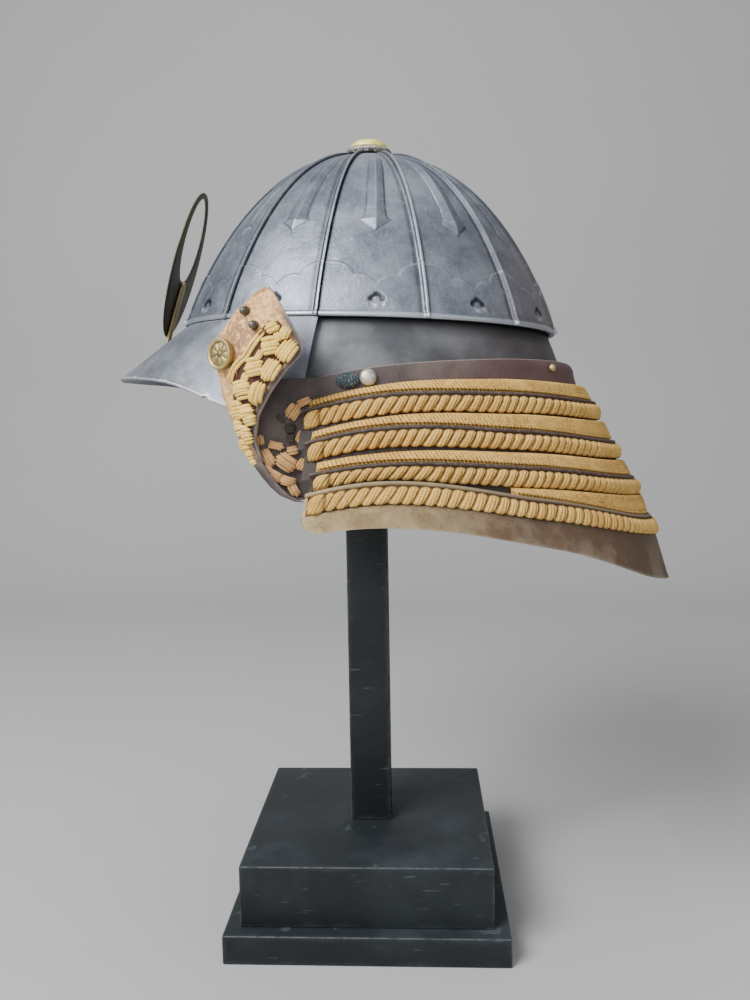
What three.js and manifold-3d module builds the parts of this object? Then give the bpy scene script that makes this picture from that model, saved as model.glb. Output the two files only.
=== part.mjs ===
// A samurai helmet (kabuto) on its plain post stand, in millimetres.
// The origin is the centre of the foot's underside, +Z is up, the helmet faces -X and its left side -Y.
// The helmet is drawn in a frame of its own, whose origin is the middle of the bowl's rim plane.
import * as THREE from 'three';
import * as BufferGeometryUtils from 'three/addons/utils/BufferGeometryUtils.js';
import Module from 'manifold-3d';

const wasm = await Module();
wasm.setup();

// Clearance between neighbouring pieces
const GAP = 0.3;
const DEGREE = Math.PI / 180;

// Stand: a square foot, a square block and a square post
const FOOT_SIDE = 168.3;
const FOOT_HEIGHT = 17.6;
const BLOCK_SIDE = 150;
const BLOCK_HEIGHT = 37.5;
const POST_SIDE = 25.9;
const POST_SOCKET_DEPTH = 9;
const EDGE_CHAMFER = 1.0;
const REST_FOOT_RADIUS = 20;
const REST_RISES = [0.955, 0.975, 0.99];
const REST_DEPTH = 18;
const REST_CLEARANCE = 1.6;

// How the helmet sits on the post: rim height, offset, slight tilt back and slight turn
const RIM_HEIGHT = 372;
const HELMET_SHIFT = 4.4;
const HELMET_TILT = 2.2 * DEGREE;
const HELMET_TURN = 4.1 * DEGREE;

// Bowl of twelve ribbed plates
const PLATE_COUNT = 12;
const BOWL_LENGTH = 227.6;
const BOWL_WIDTH = 189;
const BOWL_HEIGHT = 106.3;
const BOWL_RISE_POWER = 1.17;
const BOWL_ROUND_POWER = 2.28;
const CROWN_SHIFT = -1;
const OUTWARD_LEAN = 0.25;
const PLATE_THICKNESS = 1.6;
const PLATE_GAP = 0.4;
const NARROW_PLATE = 14;
const RIB_WIDTH = 2.4;
const RIB_SHARE = 0.28;
const RIB_HEIGHT = 1.8;
const RIB_FADE_START = 8;
const RIB_FADE_LENGTH = 30;
const RIB_LEAST = 0.05;
const LIP_OUT = 1.4;
const LIP_LOW = -2.0;
const LIP_HIGH = 0.8;
const RELIEF_STEP = 0.5;
const RELIEF_HEIGHT = 0.8;

// Arrow worked on each plate: share of the bowl's height against the half width of the relief
const ARROW = [
  { rise: 0.435, half: 0.3 },
  { rise: 0.487, half: 7.1 },
  { rise: 0.505, half: 3.2 },
  { rise: 0.93, half: 1.6 },
];
const MIDDLE_HALF = 0.6;
const OUTER_RISES = [0.013, 0.15, 0.3, 0.434, 0.487, 0.505, 0.62, 0.76, 0.87, 0.93, 0.975, 0.9978];
const INNER_RISES = [0.9978, 0.95, 0.82, 0.55, 0.25];

// Base band under the bowl: half lengths to the rear and front, half width and height of each edge
const BAND_THICKNESS = 1.6;
const BAND_ROWS = [
  { rear: 108.2, front: 108.2, side: 89.6, rearZ: 4, sideZ: 4 },
  { rear: 111.3, front: 111.3, side: 92.5, rearZ: -3, sideZ: -3 },
  { rear: 122.3, front: 113.4, side: 98.4, rearZ: -28, sideZ: -34 },
];

// Peak: from under the rim out to its free edge
const PEAK_THICKNESS = 1.6;
const PEAK_HALF_ANGLE = 74.9 * DEGREE;
const PEAK_TOP_Z = -2.4;
const PEAK_INNER_LENGTH = 114.5;
const PEAK_OUTER_LENGTH = 156;
const PEAK_WIDTHS = [96.5, 99.2, 101.0, 102.2];
const PEAK_EDGE_STEP = 15 * DEGREE;
const PEAK_EDGE_Z = [-35.4, -35.3, -36.0, -39.6, -51.5, -58.0];

// Crown ring and cap
const RING_SHIFT = -3.6;
const RING_RADIUS = 13.7;
const RING_BORE = 12.2;
const RING_CHAMFER = 0.8;
const RING_BASE = 107;
const RING_TOP = 110.6;
const CAP_RADIUS = 11.7;
const CAP_EDGE = 1.2;
const CAP_TOP = 117;
const CAP_CURVE = [
  { radius: 1, height: 0 },
  { radius: 0.83, height: 0.55 },
  { radius: 0.45, height: 0.9 },
  { radius: 0, height: 1 },
];

// Neck lames: upper edges as half ellipses seen from above, with their heights every 30 degrees
// from the rear, and the angle at which each front end stops; the last is the hem
const LAME_THICKNESS = 1.8;
const LACE_REACH = 4.2;
const HEIGHT_STEP = 30 * DEGREE;
const EDGES = [
  { length: 121.3, width: 103, end: 105, z: [-18.8, -19.8, -22.4, -28.9, -42.8] },
  { length: 142.3, width: 113, end: 105, z: [-42.6, -41.9, -40.1, -43.5, -62.8] },
  { length: 155.1, width: 122.5, end: 102.8, z: [-65.9, -64.5, -59.8, -60.3, -82.8] },
  { length: 167.5, width: 132, end: 100.7, z: [-87.5, -85.1, -78.8, -78.1, -97.8] },
  { length: 178.3, width: 140, end: 100.6, z: [-110.5, -107.2, -94.9, -86.7, -112.8] },
  { length: 191.4, width: 149, end: 99.9, z: [-149.5, -142.8, -120.0, -108.4, -131.0] },
];
const LAME_STEPS = 22;
const OVERLAP = 3;
const FACE_LEAN = 0.2;
const HEM_CORNER = 9;

// Cords on the lames: the flat band of upright cords and the thick braid under each rim
const BRAID_TOP = 2.0;
const BRAID_HEIGHT = 8.4;
const BRAID_ROUND = 0.6;
const BRAID_SHOULDER = 0.78;
const BRAID_DEPTHS = [2.9, 3.4, 3.4, 2.4];
const CORD_END_GAP = 0.6;
const CORD_GAP = 0.7;
const CORD_SEAT = 0.5;
const CORD_ROUND = 0.8;
const BAND_LACE_DEPTH = 3.6;
const BAND_LACE_BULGE = 5.2;
const BAND_LACE_SIDE = 4.6;
const BAND_LACE_REAR = [9.5, 11.6, 9.5, 12.7];
const LOWEST_BAND_END = 66;

// Turned-back wings of the top lame: height against the front and rear edge of the leaf
const LEAF = [
  { z: 9.3, front: -57.6, rear: -55.0 },
  { z: 5.5, front: -62.6, rear: -51.3 },
  { z: -3, front: -71.2, rear: -45.6 },
  { z: -12, front: -77.6, rear: -39.8 },
  { z: -20, front: -81.2, rear: -35.4 },
  { z: -25, front: -82.0, rear: -36.0 },
  { z: -33, front: -80.8, rear: -43.5 },
  { z: -44, front: -76.9, rear: -51.4 },
  { z: -56, front: -72.5, rear: -58.3 },
  { z: -68, front: -67.8, rear: -60.6 },
  { z: -80, front: -61.5, rear: -57.0 },
];
const LEAF_THICKNESS = 2.2;
const LEAF_COLUMNS = 6;
const LEAF_SPREAD = 128.5;
const LEAF_SPREAD_LOW = 121;
const LEAF_CURL = 19;
const LEAF_CURL_LENGTH = 14;
const LEAF_CURL_START = 2;
const LEAF_DRAW_IN_Z = -40;
const LEAF_DRAW_IN_DROP = 50;
// The fold in front of the lames' ends: height against its foremost reach
const FOLD = [
  { z: -37, front: -79.6 },
  { z: -46, front: -76.2 },
  { z: -56, front: -72.5 },
  { z: -68, front: -67.8 },
  { z: -78, front: -62.8 },
  { z: -86, front: -57.0 },
  { z: -92, front: -51.8 },
  { z: -96.5, front: -46.4 },
  { z: -99.2, front: -39.4 },
];
const FOLD_BACK = -28;
const FOLD_END_X = -38;
const FOLD_TOP_Z = -36;
const FOLD_FLARE_DROP = 18;
const FOLD_END_Y_HIGH = 98.7;
const FOLD_END_Y_LOW = 101.7;
const FOLD_INNER_Y = 104;
const FOLD_RADIUS = 5;
const FOLD_ROOM = 2;
const FOLD_BACK_STEP = 0.4;
const FOLD_ARC_STEPS = 5;

// Lumps of cord knotted on each wing and in each fold: height against front and rear edge
const WING_LACE = [
  { z: -9, front: -53, rear: -47 },
  { z: -15, front: -58, rear: -43 },
  { z: -22, front: -62.5, rear: -40.5 },
  { z: -28, front: -67, rear: -44 },
  { z: -36, front: -72, rear: -50 },
  { z: -46, front: -70.6, rear: -57 },
  { z: -57, front: -66.6, rear: -60.5 },
  { z: -66, front: -63.2, rear: -61.3 },
];
const WING_LACE_DEPTH = 5.5;
const FOLD_LACE = [
  { z: -70, front: -55.5, rear: -45 },
  { z: -76, front: -55, rear: -38.5 },
  { z: -84, front: -52, rear: -37.5 },
  { z: -91, front: -46.5, rear: -37.5 },
  { z: -95.5, front: -41.5, rear: -37.5 },
];
const FOLD_LACE_DEPTH = 5.5;
const MOUND_EDGE = 0.55;
const MOUND_SEAT = 0.8;

// Small metal fittings
const BOSS = { x: -76, z: -25.2, radius: 8.3, height: 3.4, seat: 0.4 };
const BOSS_DISH = { lip: 0.78, floorRadius: 0.74, floorHeight: 0.6, middleHeight: 0.8 };
const LEAF_STUDS = [
  { x: -64.3, z: -3.5 },
  { x: -59.7, z: -11 },
];
const LEAF_STUD_RADIUS = 2.4;
const LEAF_STUD_HEIGHT = 4.2;
const LEAF_STUD_SEAT = 0.7;
const DOME_SHOULDER = { radius: 0.92, height: 0.45 };
const DOME_TOP = { radius: 0.6, height: 0.85 };
const NECK_SEAT = 0.5;
const NECK_LEAN = 0.12;
const RIVET = { angle: 91.2, drop: 5.1, radius: 4.6, height: 3.2 };
const KNOT = { angle: 95.9, drop: 4.9, length: 12.6, height: 8.2, depth: 3.6 };
const BACK_STUD = { angle: 37, drop: 4.6, radius: 2.3, height: 2.6 };

// Crest: a crescent whose horns close up at the top, leaning back, and the brass bar behind it
const CREST_THICKNESS = 1.3;
const CREST_LEAN = 15.4 * DEGREE;
const CREST_FOOT_X = -129.8;
const CREST_FOOT_Z = -7;
const CREST_HALF_WIDTH = 34;
const CREST_HEIGHT = 92;
const CREST_HOLE_HALF_WIDTH = 22;
const CREST_HOLE_LOW = 36;
const CREST_HOLE_HIGH = 88.4;
const CREST_SLIT = 2.4;
const HOLDER_WIDTH = 8;
const HOLDER_DEPTH = 1.8;
const HOLDER_LOW = -4.6;
const HOLDER_HIGH = 36;

function finish(colour, roughness, metalness) {
  return new THREE.MeshStandardMaterial({ color: colour, roughness, metalness });
}
const standPaint = finish(0x1c2428, 0.6, 0.1);
const bowlIron = finish(0x5f656e, 0.5, 0.7);
const bandIron = finish(0x4c4f54, 0.55, 0.6);
const crestBronze = finish(0x4a4238, 0.4, 0.8);
const brass = finish(0x8d7440, 0.4, 0.9);
const giltCap = finish(0xb7aa55, 0.45, 0.8);
const silver = finish(0x8f8f8a, 0.45, 0.8);
const lacquer = finish(0x4b3733, 0.45, 0.0);
const hemLeather = finish(0x8d7b58, 0.7, 0.0);
const strawCord = finish(0xc9a468, 0.9, 0.0);
const paleCord = finish(0xd6b978, 0.9, 0.0);
const brownCord = finish(0xa98052, 0.9, 0.0);
const darkCloth = finish(0x2a3138, 0.9, 0.0);
const pewter = finish(0x9b948a, 0.4, 0.8);

const helmet = new THREE.Group();
const stand = new THREE.Group();
const postTop = RIM_HEIGHT + BOWL_HEIGHT * REST_RISES[0] - REST_DEPTH + POST_SOCKET_DEPTH;

function place(group, name, geometry, material) {
  const mesh = new THREE.Mesh(geometry, material);
  mesh.name = name;
  group.add(mesh);
  return mesh;
}

// Smooth value between heights given at equal steps, level at the first of them
function between(values, step, angle) {
  const along = Math.abs(angle) / step;
  const index = Math.min(values.length - 2, Math.floor(along));
  const t = along - index;
  const before = index > 0 ? values[index - 1] : values[1];
  const after = index + 2 < values.length ? values[index + 2] : 2 * values[index + 1] - values[index];
  const start = (values[index + 1] - before) / 2;
  const stop = (after - values[index]) / 2;
  const a = 2 * values[index] - 2 * values[index + 1] + start + stop;
  const b = -3 * values[index] + 3 * values[index + 1] - 2 * start - stop;
  return ((a * t + b) * t + start) * t + values[index];
}

// Straight line between the rows of a table, by height
function alongHeight(table, key, z) {
  for (let i = 1; i < table.length; i++) {
    const high = table[i - 1];
    const low = table[i];
    if (z >= low.z || i === table.length - 1) {
      const t = THREE.MathUtils.clamp((high.z - z) / (high.z - low.z), 0, 1);
      return THREE.MathUtils.lerp(high[key], low[key], t);
    }
  }
  return table[0][key];
}

function signedVolume(points, faces) {
  let sum = 0;
  for (const [a, b, c] of faces) {
    sum += points[a].dot(new THREE.Vector3().crossVectors(points[b], points[c]));
  }
  return sum / 6;
}

function meshOf(points, faces) {
  const turned = signedVolume(points, faces) < 0;
  const geometry = new THREE.BufferGeometry();
  const positions = points.flatMap((p) => [p.x, p.y, p.z]);
  geometry.setAttribute('position', new THREE.Float32BufferAttribute(positions, 3));
  geometry.setIndex(faces.flatMap(([a, b, c]) => (turned ? [a, c, b] : [a, b, c])));
  return geometry;
}

// Triangles that fill a flat closed outline in space
function cover(outline) {
  const normal = new THREE.Vector3();
  outline.forEach((p, i) => {
    const q = outline[(i + 1) % outline.length];
    normal.add(new THREE.Vector3().crossVectors(p, q));
  });
  normal.normalize();
  const across = new THREE.Vector3().subVectors(outline[1], outline[0]);
  across.addScaledVector(normal, -across.dot(normal)).normalize();
  const up = new THREE.Vector3().crossVectors(normal, across);
  const flat = outline.map((p) => new THREE.Vector2(p.dot(across), p.dot(up)));
  return THREE.ShapeUtils.triangulateShape(flat, []);
}

// A closed solid through a row of closed outlines of equal length, capped at both ends or joined in a ring
function loft(outlines, ring = false) {
  const count = outlines[0].length;
  const points = outlines.flat();
  const faces = [];
  const last = ring ? outlines.length : outlines.length - 1;
  for (let i = 0; i < last; i++) {
    const here = i * count;
    const next = ((i + 1) % outlines.length) * count;
    for (let j = 0; j < count; j++) {
      const k = (j + 1) % count;
      faces.push([here + j, next + j, next + k], [here + j, next + k, here + k]);
    }
  }
  if (!ring) {
    const end = (outlines.length - 1) * count;
    for (const [a, b, c] of cover(outlines[0])) faces.push([a, b, c]);
    for (const [a, b, c] of cover(outlines[outlines.length - 1])) faces.push([end + a, end + c, end + b]);
  }
  return meshOf(points, faces);
}

// A wall of even thickness under the surface at(u, v): outlines run along u and follow each other along v
function wall(at, uCount, vCount, thickness) {
  const SMALL = 1e-3;
  const outlines = [];
  for (let j = 0; j <= vCount; j++) {
    const v = j / vCount;
    const outer = [];
    const inner = [];
    for (let i = 0; i <= uCount; i++) {
      const u = i / uCount;
      const here = at(u, v);
      const du = at(Math.min(1, u + SMALL), v).sub(at(Math.max(0, u - SMALL), v));
      const dv = at(u, Math.min(1, v + SMALL)).sub(at(u, Math.max(0, v - SMALL)));
      const normal = new THREE.Vector3().crossVectors(du, dv).normalize();
      outer.push(here);
      inner.unshift(here.clone().addScaledVector(normal, -thickness));
    }
    outlines.push([...outer, ...inner]);
  }
  return loft(outlines);
}

function solidOf(geometry) {
  const bare = geometry.clone();
  bare.deleteAttribute('normal');
  bare.deleteAttribute('uv');
  const merged = BufferGeometryUtils.mergeVertices(bare);
  const mesh = new wasm.Mesh({
    numProp: 3,
    vertProperties: Float32Array.from(merged.attributes.position.array),
    triVerts: Uint32Array.from(merged.index.array),
  });
  return new wasm.Manifold(mesh);
}

function geometryOf(solid) {
  const mesh = solid.getMesh();
  const geometry = new THREE.BufferGeometry();
  const positions = Array.from(mesh.vertProperties);
  geometry.setAttribute('position', new THREE.Float32BufferAttribute(positions, 3));
  geometry.setIndex(Array.from(mesh.triVerts));
  return geometry;
}

// Stand pieces are square bars with a small chamfer round their upper edge
function squareBar(side, low, high, chamfer) {
  const half = side / 2;
  const square = (s, z) => [
    new THREE.Vector3(-s, -s, z),
    new THREE.Vector3(s, -s, z),
    new THREE.Vector3(s, s, z),
    new THREE.Vector3(-s, s, z),
  ];
  return loft([square(half, low), square(half, high - chamfer), square(half - chamfer, high)]);
}

function buildStand() {
  const blockTop = FOOT_HEIGHT + BLOCK_HEIGHT;
  place(stand, 'stand_foot', squareBar(FOOT_SIDE, 0, FOOT_HEIGHT, EDGE_CHAMFER), standPaint);
  const block = squareBar(BLOCK_SIDE, FOOT_HEIGHT + GAP, blockTop, EDGE_CHAMFER);
  place(stand, 'stand_block', block, standPaint);
  place(stand, 'stand_post', squareBar(POST_SIDE, blockTop + GAP, postTop, EDGE_CHAMFER), standPaint);
}

// Share of the rim's radius that the bowl has at a share of its height
function bowlRadius(rise) {
  return (1 - Math.max(0, rise) ** BOWL_RISE_POWER) ** (1 / BOWL_ROUND_POWER);
}

// A point on the bowl: angle 0 is the rear, 90 degrees the left side
function bowlPoint(angle, rise, out) {
  const share = bowlRadius(rise);
  const x = (BOWL_LENGTH / 2) * share * Math.cos(angle) + CROWN_SHIFT * Math.max(0, rise) ** 2;
  const y = -(BOWL_WIDTH / 2) * share * Math.sin(angle);
  const slope = Math.min(1, Math.max(0, rise) ** 2);
  const normal = new THREE.Vector3(
    (Math.cos(angle) / BOWL_LENGTH) * BOWL_WIDTH * (1 - slope),
    -Math.sin(angle) * (1 - slope),
    OUTWARD_LEAN * Math.max(0, rise) + slope,
  ).normalize();
  return new THREE.Vector3(x, y, BOWL_HEIGHT * rise).addScaledVector(normal, out);
}

function arrowAt(rise) {
  if (rise < ARROW[0].rise || rise > ARROW[ARROW.length - 1].rise) return { half: MIDDLE_HALF, height: 0 };
  for (let i = 1; i < ARROW.length; i++) {
    if (rise <= ARROW[i].rise) {
      const t = (rise - ARROW[i - 1].rise) / (ARROW[i].rise - ARROW[i - 1].rise);
      return { half: THREE.MathUtils.lerp(ARROW[i - 1].half, ARROW[i].half, t), height: RELIEF_HEIGHT };
    }
  }
}

// One plate: columns run from its ribbed edge across the arrow to the plain edge
function bowlPlate(index) {
  const start = (15 + 30 * index) * DEGREE;
  const span = (2 * Math.PI) / PLATE_COUNT;
  const middle = start + span / 2;
  const columnsAt = (rise) => {
    const share = Math.max(bowlRadius(rise), 0.01);
    const alongLength = (BOWL_LENGTH / 2) * Math.sin(middle);
    const alongWidth = (BOWL_WIDTH / 2) * Math.cos(middle);
    const radius = share * Math.hypot(alongLength, alongWidth);
    const width = radius * span;
    const fit = Math.min(1, width / NARROW_PLATE);
    const rib = Math.min(RIB_WIDTH, width * RIB_SHARE);
    const ribFade = THREE.MathUtils.clamp((radius - RIB_FADE_START) / RIB_FADE_LENGTH, RIB_LEAST, 1);
    const ribHeight = RIB_HEIGHT * ribFade;
    const arrow = arrowAt(rise);
    const half = arrow.half * (arrow.height ? 1 : fit);
    const step = RELIEF_STEP * fit;
    const ribFoot = start + (PLATE_GAP / 2 + rib + step) / radius;
    const arrowLeft = middle - (half + step) / radius;
    const arrowRight = middle + (half + step) / radius;
    const stop = start + span - PLATE_GAP / 2 / radius;
    return [
      { angle: start + PLATE_GAP / 2 / radius, out: ribHeight },
      { angle: start + (PLATE_GAP / 2 + rib) / radius, out: ribHeight },
      { angle: ribFoot, out: 0 },
      { angle: arrowLeft, out: 0 },
      { angle: middle - half / radius, out: arrow.height },
      { angle: middle + half / radius, out: arrow.height },
      { angle: arrowRight, out: 0 },
      { angle: stop, out: 0 },
    ];
  };
  const foot = columnsAt(0);
  const outlines = foot.map((column, j) => {
    const lipOut = Math.max(column.out, LIP_OUT);
    const low = bowlPoint(column.angle, 0, lipOut).setZ(LIP_LOW);
    const high = bowlPoint(column.angle, 0, lipOut).setZ(LIP_HIGH);
    const outer = OUTER_RISES.map((rise) => {
      const here = columnsAt(rise)[j];
      return bowlPoint(here.angle, rise, here.out);
    });
    const inner = INNER_RISES.map((rise) => bowlPoint(columnsAt(rise)[j].angle, rise, -PLATE_THICKNESS));
    const innerFoot = bowlPoint(column.angle, 0, -PLATE_THICKNESS).setZ(LIP_LOW);
    return [low, high, ...outer, ...inner, innerFoot];
  });
  return loft(outlines);
}

function buildBowl() {
  for (let index = 0; index < PLATE_COUNT; index++) {
    const name = `bowl_plate_${String(index + 1).padStart(2, '0')}`;
    place(helmet, name, bowlPlate(index), bowlIron);
  }
}

function halfLength(row, angle) {
  return Math.cos(angle) > 0 ? row.rear : row.front;
}

function buildBand() {
  const STEPS = 36;
  const outlines = [];
  for (let i = 0; i < STEPS; i++) {
    const angle = (i * 2 * Math.PI) / STEPS;
    const rearward = Math.max(0, Math.cos(angle));
    const at = (row, out) => new THREE.Vector3(
      (halfLength(row, angle) + out) * Math.cos(angle),
      -(row.side + out) * Math.sin(angle),
      THREE.MathUtils.lerp(row.sideZ, row.rearZ, rearward),
    );
    const outer = BAND_ROWS.map((row) => at(row, 0));
    const inner = BAND_ROWS.map((row) => at(row, -BAND_THICKNESS)).reverse();
    outlines.push([...outer, ...inner]);
  }
  place(helmet, 'base_band', loft(outlines, true), bandIron);
}

function peakPoint(u, v) {
  const angle = THREE.MathUtils.lerp(PEAK_HALF_ANGLE, -PEAK_HALF_ANGLE, v);
  const length = THREE.MathUtils.lerp(PEAK_INNER_LENGTH, PEAK_OUTER_LENGTH, u);
  const along = u * (PEAK_WIDTHS.length - 1);
  const index = Math.min(PEAK_WIDTHS.length - 2, Math.floor(along));
  const width = THREE.MathUtils.lerp(PEAK_WIDTHS[index], PEAK_WIDTHS[index + 1], along - index);
  const edge = between(PEAK_EDGE_Z, PEAK_EDGE_STEP, angle);
  const z = THREE.MathUtils.lerp(PEAK_TOP_Z, edge, u);
  return new THREE.Vector3(-length * Math.cos(angle), width * Math.sin(angle), z);
}

function buildPeak() {
  place(helmet, 'peak', wall(peakPoint, 3, 18, PEAK_THICKNESS), bowlIron);
}

function turned(profile, segments) {
  const geometry = new THREE.LatheGeometry(profile.map(([r, z]) => new THREE.Vector2(r, z)), segments);
  geometry.rotateX(Math.PI / 2);
  return geometry;
}

function buildCrown() {
  const middle = (RING_BASE + RING_TOP) / 2;
  const ring = turned([
    [RING_BORE, RING_BASE], [RING_RADIUS - RING_CHAMFER, RING_BASE], [RING_RADIUS, middle],
    [RING_RADIUS - RING_CHAMFER, RING_TOP], [RING_BORE, RING_TOP], [RING_BORE, RING_BASE],
  ], 20);
  ring.translate(RING_SHIFT, 0, 0);
  place(helmet, 'crown_ring', ring, silver);
  const shoulder = RING_TOP + CAP_EDGE;
  const curve = CAP_CURVE.map((row) => [
    CAP_RADIUS * row.radius, THREE.MathUtils.lerp(shoulder, CAP_TOP, row.height),
  ]);
  const cap = turned([[0, RING_BASE], [CAP_RADIUS, RING_BASE], ...curve], 18);
  cap.translate(RING_SHIFT, 0, 0);
  place(helmet, 'crown_cap', cap, giltCap);
}

// The rest under the crown: its top follows the inside of the bowl, and the post goes up into its socket
function crownRest() {
  const STEPS = 32;
  const under = PLATE_THICKNESS + REST_CLEARANCE;
  const outlines = [];
  const base = BOWL_HEIGHT * REST_RISES[0] - REST_DEPTH;
  const loop = (at) => Array.from({ length: STEPS }, (_, i) => at((i * 2 * Math.PI) / STEPS));
  outlines.push(loop((angle) => new THREE.Vector3(
    REST_FOOT_RADIUS * Math.cos(angle) + CROWN_SHIFT, -REST_FOOT_RADIUS * Math.sin(angle), base)));
  for (const rise of REST_RISES) {
    outlines.push(loop((angle) => bowlPoint(angle, rise, -under)));
  }
  return loft(outlines);
}

function buildRest() {
  const socket = squareBar(POST_SIDE + 2 * GAP, 0, postTop + GAP, 0);
  helmet.updateMatrix();
  socket.applyMatrix4(helmet.matrix.clone().invert());
  const rest = solidOf(crownRest()).subtract(solidOf(socket));
  place(helmet, 'crown_rest', geometryOf(rest), standPaint);
}

function edgeHeight(edge, angle) {
  return between(edge.z, HEIGHT_STEP, angle);
}

// A point by a lame's edge: out is outwards, drop is downwards
function edgePoint(edge, angle, out, drop) {
  return new THREE.Vector3(
    (edge.length + out) * Math.cos(angle),
    -(edge.width + out) * Math.sin(angle),
    edgeHeight(edge, angle) - drop,
  );
}

// Where a lame's lower border passes behind the rim of the next one, with room for the cords between
function lowerPoint(edge, next, angle, out) {
  const inset = LAME_THICKNESS + LACE_REACH;
  return new THREE.Vector3(
    (next.length - inset + out) * Math.cos(angle),
    -(next.width - inset + out) * Math.sin(angle),
    edgeHeight(next, angle) - OVERLAP,
  );
}

function anglesTo(end) {
  const stations = [];
  for (let i = 0; i <= LAME_STEPS; i++) stations.push(end * DEGREE * ((2 * i) / LAME_STEPS - 1));
  return stations;
}

// A lame: its upper rim, its face and its lower border behind the next lame
function lame(edge, next) {
  const outlines = anglesTo(edge.end).map((angle) => [
    edgePoint(edge, angle, 0, 0),
    edgePoint(edge, angle, FACE_LEAN, BRAID_HEIGHT),
    lowerPoint(edge, next, angle, 0),
    lowerPoint(edge, next, angle, -LAME_THICKNESS),
    edgePoint(edge, angle, FACE_LEAN - LAME_THICKNESS, BRAID_HEIGHT),
    edgePoint(edge, angle, -LAME_THICKNESS, 0),
  ]);
  return loft(outlines);
}

// The lowest lame carries the deep plain hem, rounded at its front corners
function lowestLame(edge, hem) {
  const outlines = anglesTo(edge.end).map((angle) => {
    const reach = (edge.end * DEGREE - Math.abs(angle)) * hem.width;
    const into = Math.max(0, HEM_CORNER - reach);
    const lift = HEM_CORNER - Math.sqrt(HEM_CORNER ** 2 - into ** 2);
    const share = 1 - lift / (edgeHeight(edge, angle) - edgeHeight(hem, angle));
    const down = (out, t) => edgePoint(edge, angle, out, 0).lerp(edgePoint(hem, angle, out, 0), t * share);
    return [
      down(0, 0), down(0, 0.5), down(0, 1),
      down(-LAME_THICKNESS, 1), down(-LAME_THICKNESS, 0.5), down(-LAME_THICKNESS, 0),
    ];
  });
  return loft(outlines);
}

// A point on a lame's face at a share of the way from its rim to its lower border
function facePoint(edge, next, angle, drop, out) {
  const top = edgePoint(edge, angle, out, 0);
  const bend = edgePoint(edge, angle, out + FACE_LEAN, BRAID_HEIGHT);
  const foot = lowerPoint(edge, next, angle, out);
  const height = top.z - drop;
  if (height >= bend.z) return top.lerp(bend, (top.z - height) / (top.z - bend.z));
  return bend.lerp(foot, (bend.z - height) / (bend.z - foot.z));
}

// How far below its lame's rim the braid ends, less where the next rim comes close
function braidFoot(edge, next, angle) {
  const room = edgeHeight(edge, angle) - edgeHeight(next, angle);
  return Math.min(BRAID_TOP + BRAID_HEIGHT, room - CORD_GAP);
}

// The thick braid that lies under a lame's rim
function braid(edge, next, surface, end, depth) {
  const outlines = anglesTo(end - CORD_END_GAP).map((angle) => {
    const foot = braidFoot(edge, next, angle);
    return [
      surface(angle, BRAID_TOP, GAP),
      surface(angle, BRAID_TOP + BRAID_ROUND, depth * BRAID_SHOULDER),
      surface(angle, (BRAID_TOP + foot) / 2, depth),
      surface(angle, foot - BRAID_ROUND, depth * BRAID_SHOULDER),
      surface(angle, foot, GAP),
    ];
  });
  return loft(outlines);
}

// The band of upright cords between a lame's face and the rim of the next lame
function laceBand(index, surface, end) {
  const edge = EDGES[index];
  const next = EDGES[index + 1];
  const outlines = anglesTo(end - CORD_END_GAP).map((angle) => {
    const room = edgeHeight(edge, angle) - edgeHeight(next, angle);
    const rearward = Math.max(0, Math.cos(angle));
    const height = THREE.MathUtils.lerp(BAND_LACE_SIDE, BAND_LACE_REAR[index], rearward);
    const braidEnd = index === 0 ? 0 : braidFoot(edge, next, angle) + CORD_GAP;
    const top = Math.max(room - height, braidEnd);
    const foot = room + OVERLAP - CORD_SEAT;
    return [
      surface(angle, top, CORD_SEAT),
      surface(angle, top + CORD_ROUND, BAND_LACE_DEPTH),
      surface(angle, Math.max(top + 2 * CORD_ROUND, room - 2 * CORD_ROUND), BAND_LACE_BULGE),
      surface(angle, room - CORD_SEAT, BAND_LACE_DEPTH),
      surface(angle, foot, BAND_LACE_DEPTH),
      surface(angle, foot, CORD_SEAT),
    ];
  });
  return loft(outlines);
}

// Face of the top lame: a rounded shoulder, then a steep wall that flares to its hidden lower border
const TOP_FACE = [
  { length: 0, width: 0, drop: 0 },
  { length: 3.6, width: 0.7, drop: 1.2 },
  { length: 6.2, width: 1.4, drop: 4.4 },
  { length: 8.0, width: 2.2, drop: 11 },
];

function topFacePoint(angle, row, out) {
  const edge = EDGES[0];
  return new THREE.Vector3(
    (edge.length + row.length + out) * Math.cos(angle),
    -(edge.width + row.width + out) * Math.sin(angle),
    edgeHeight(edge, angle) - row.drop,
  );
}

function topSurface(angle, drop, out) {
  const edge = EDGES[0];
  const rows = TOP_FACE.map((row) => topFacePoint(angle, row, out));
  rows.push(lowerPoint(edge, EDGES[1], angle, out));
  const height = edgeHeight(edge, angle) - drop;
  for (let i = 1; i < rows.length; i++) {
    if (height >= rows[i].z || i === rows.length - 1) {
      return rows[i - 1].lerp(rows[i], (rows[i - 1].z - height) / (rows[i - 1].z - rows[i].z));
    }
  }
}

function topLameSheet() {
  const edge = EDGES[0];
  const outlines = anglesTo(edge.end).map((angle) => {
    const outer = TOP_FACE.map((row) => topFacePoint(angle, row, 0));
    const inner = TOP_FACE.map((row) => topFacePoint(angle, row, -LAME_THICKNESS)).reverse();
    return [
      ...outer,
      lowerPoint(edge, EDGES[1], angle, 0),
      lowerPoint(edge, EDGES[1], angle, -LAME_THICKNESS),
      ...inner,
    ];
  });
  return loft(outlines);
}

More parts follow.
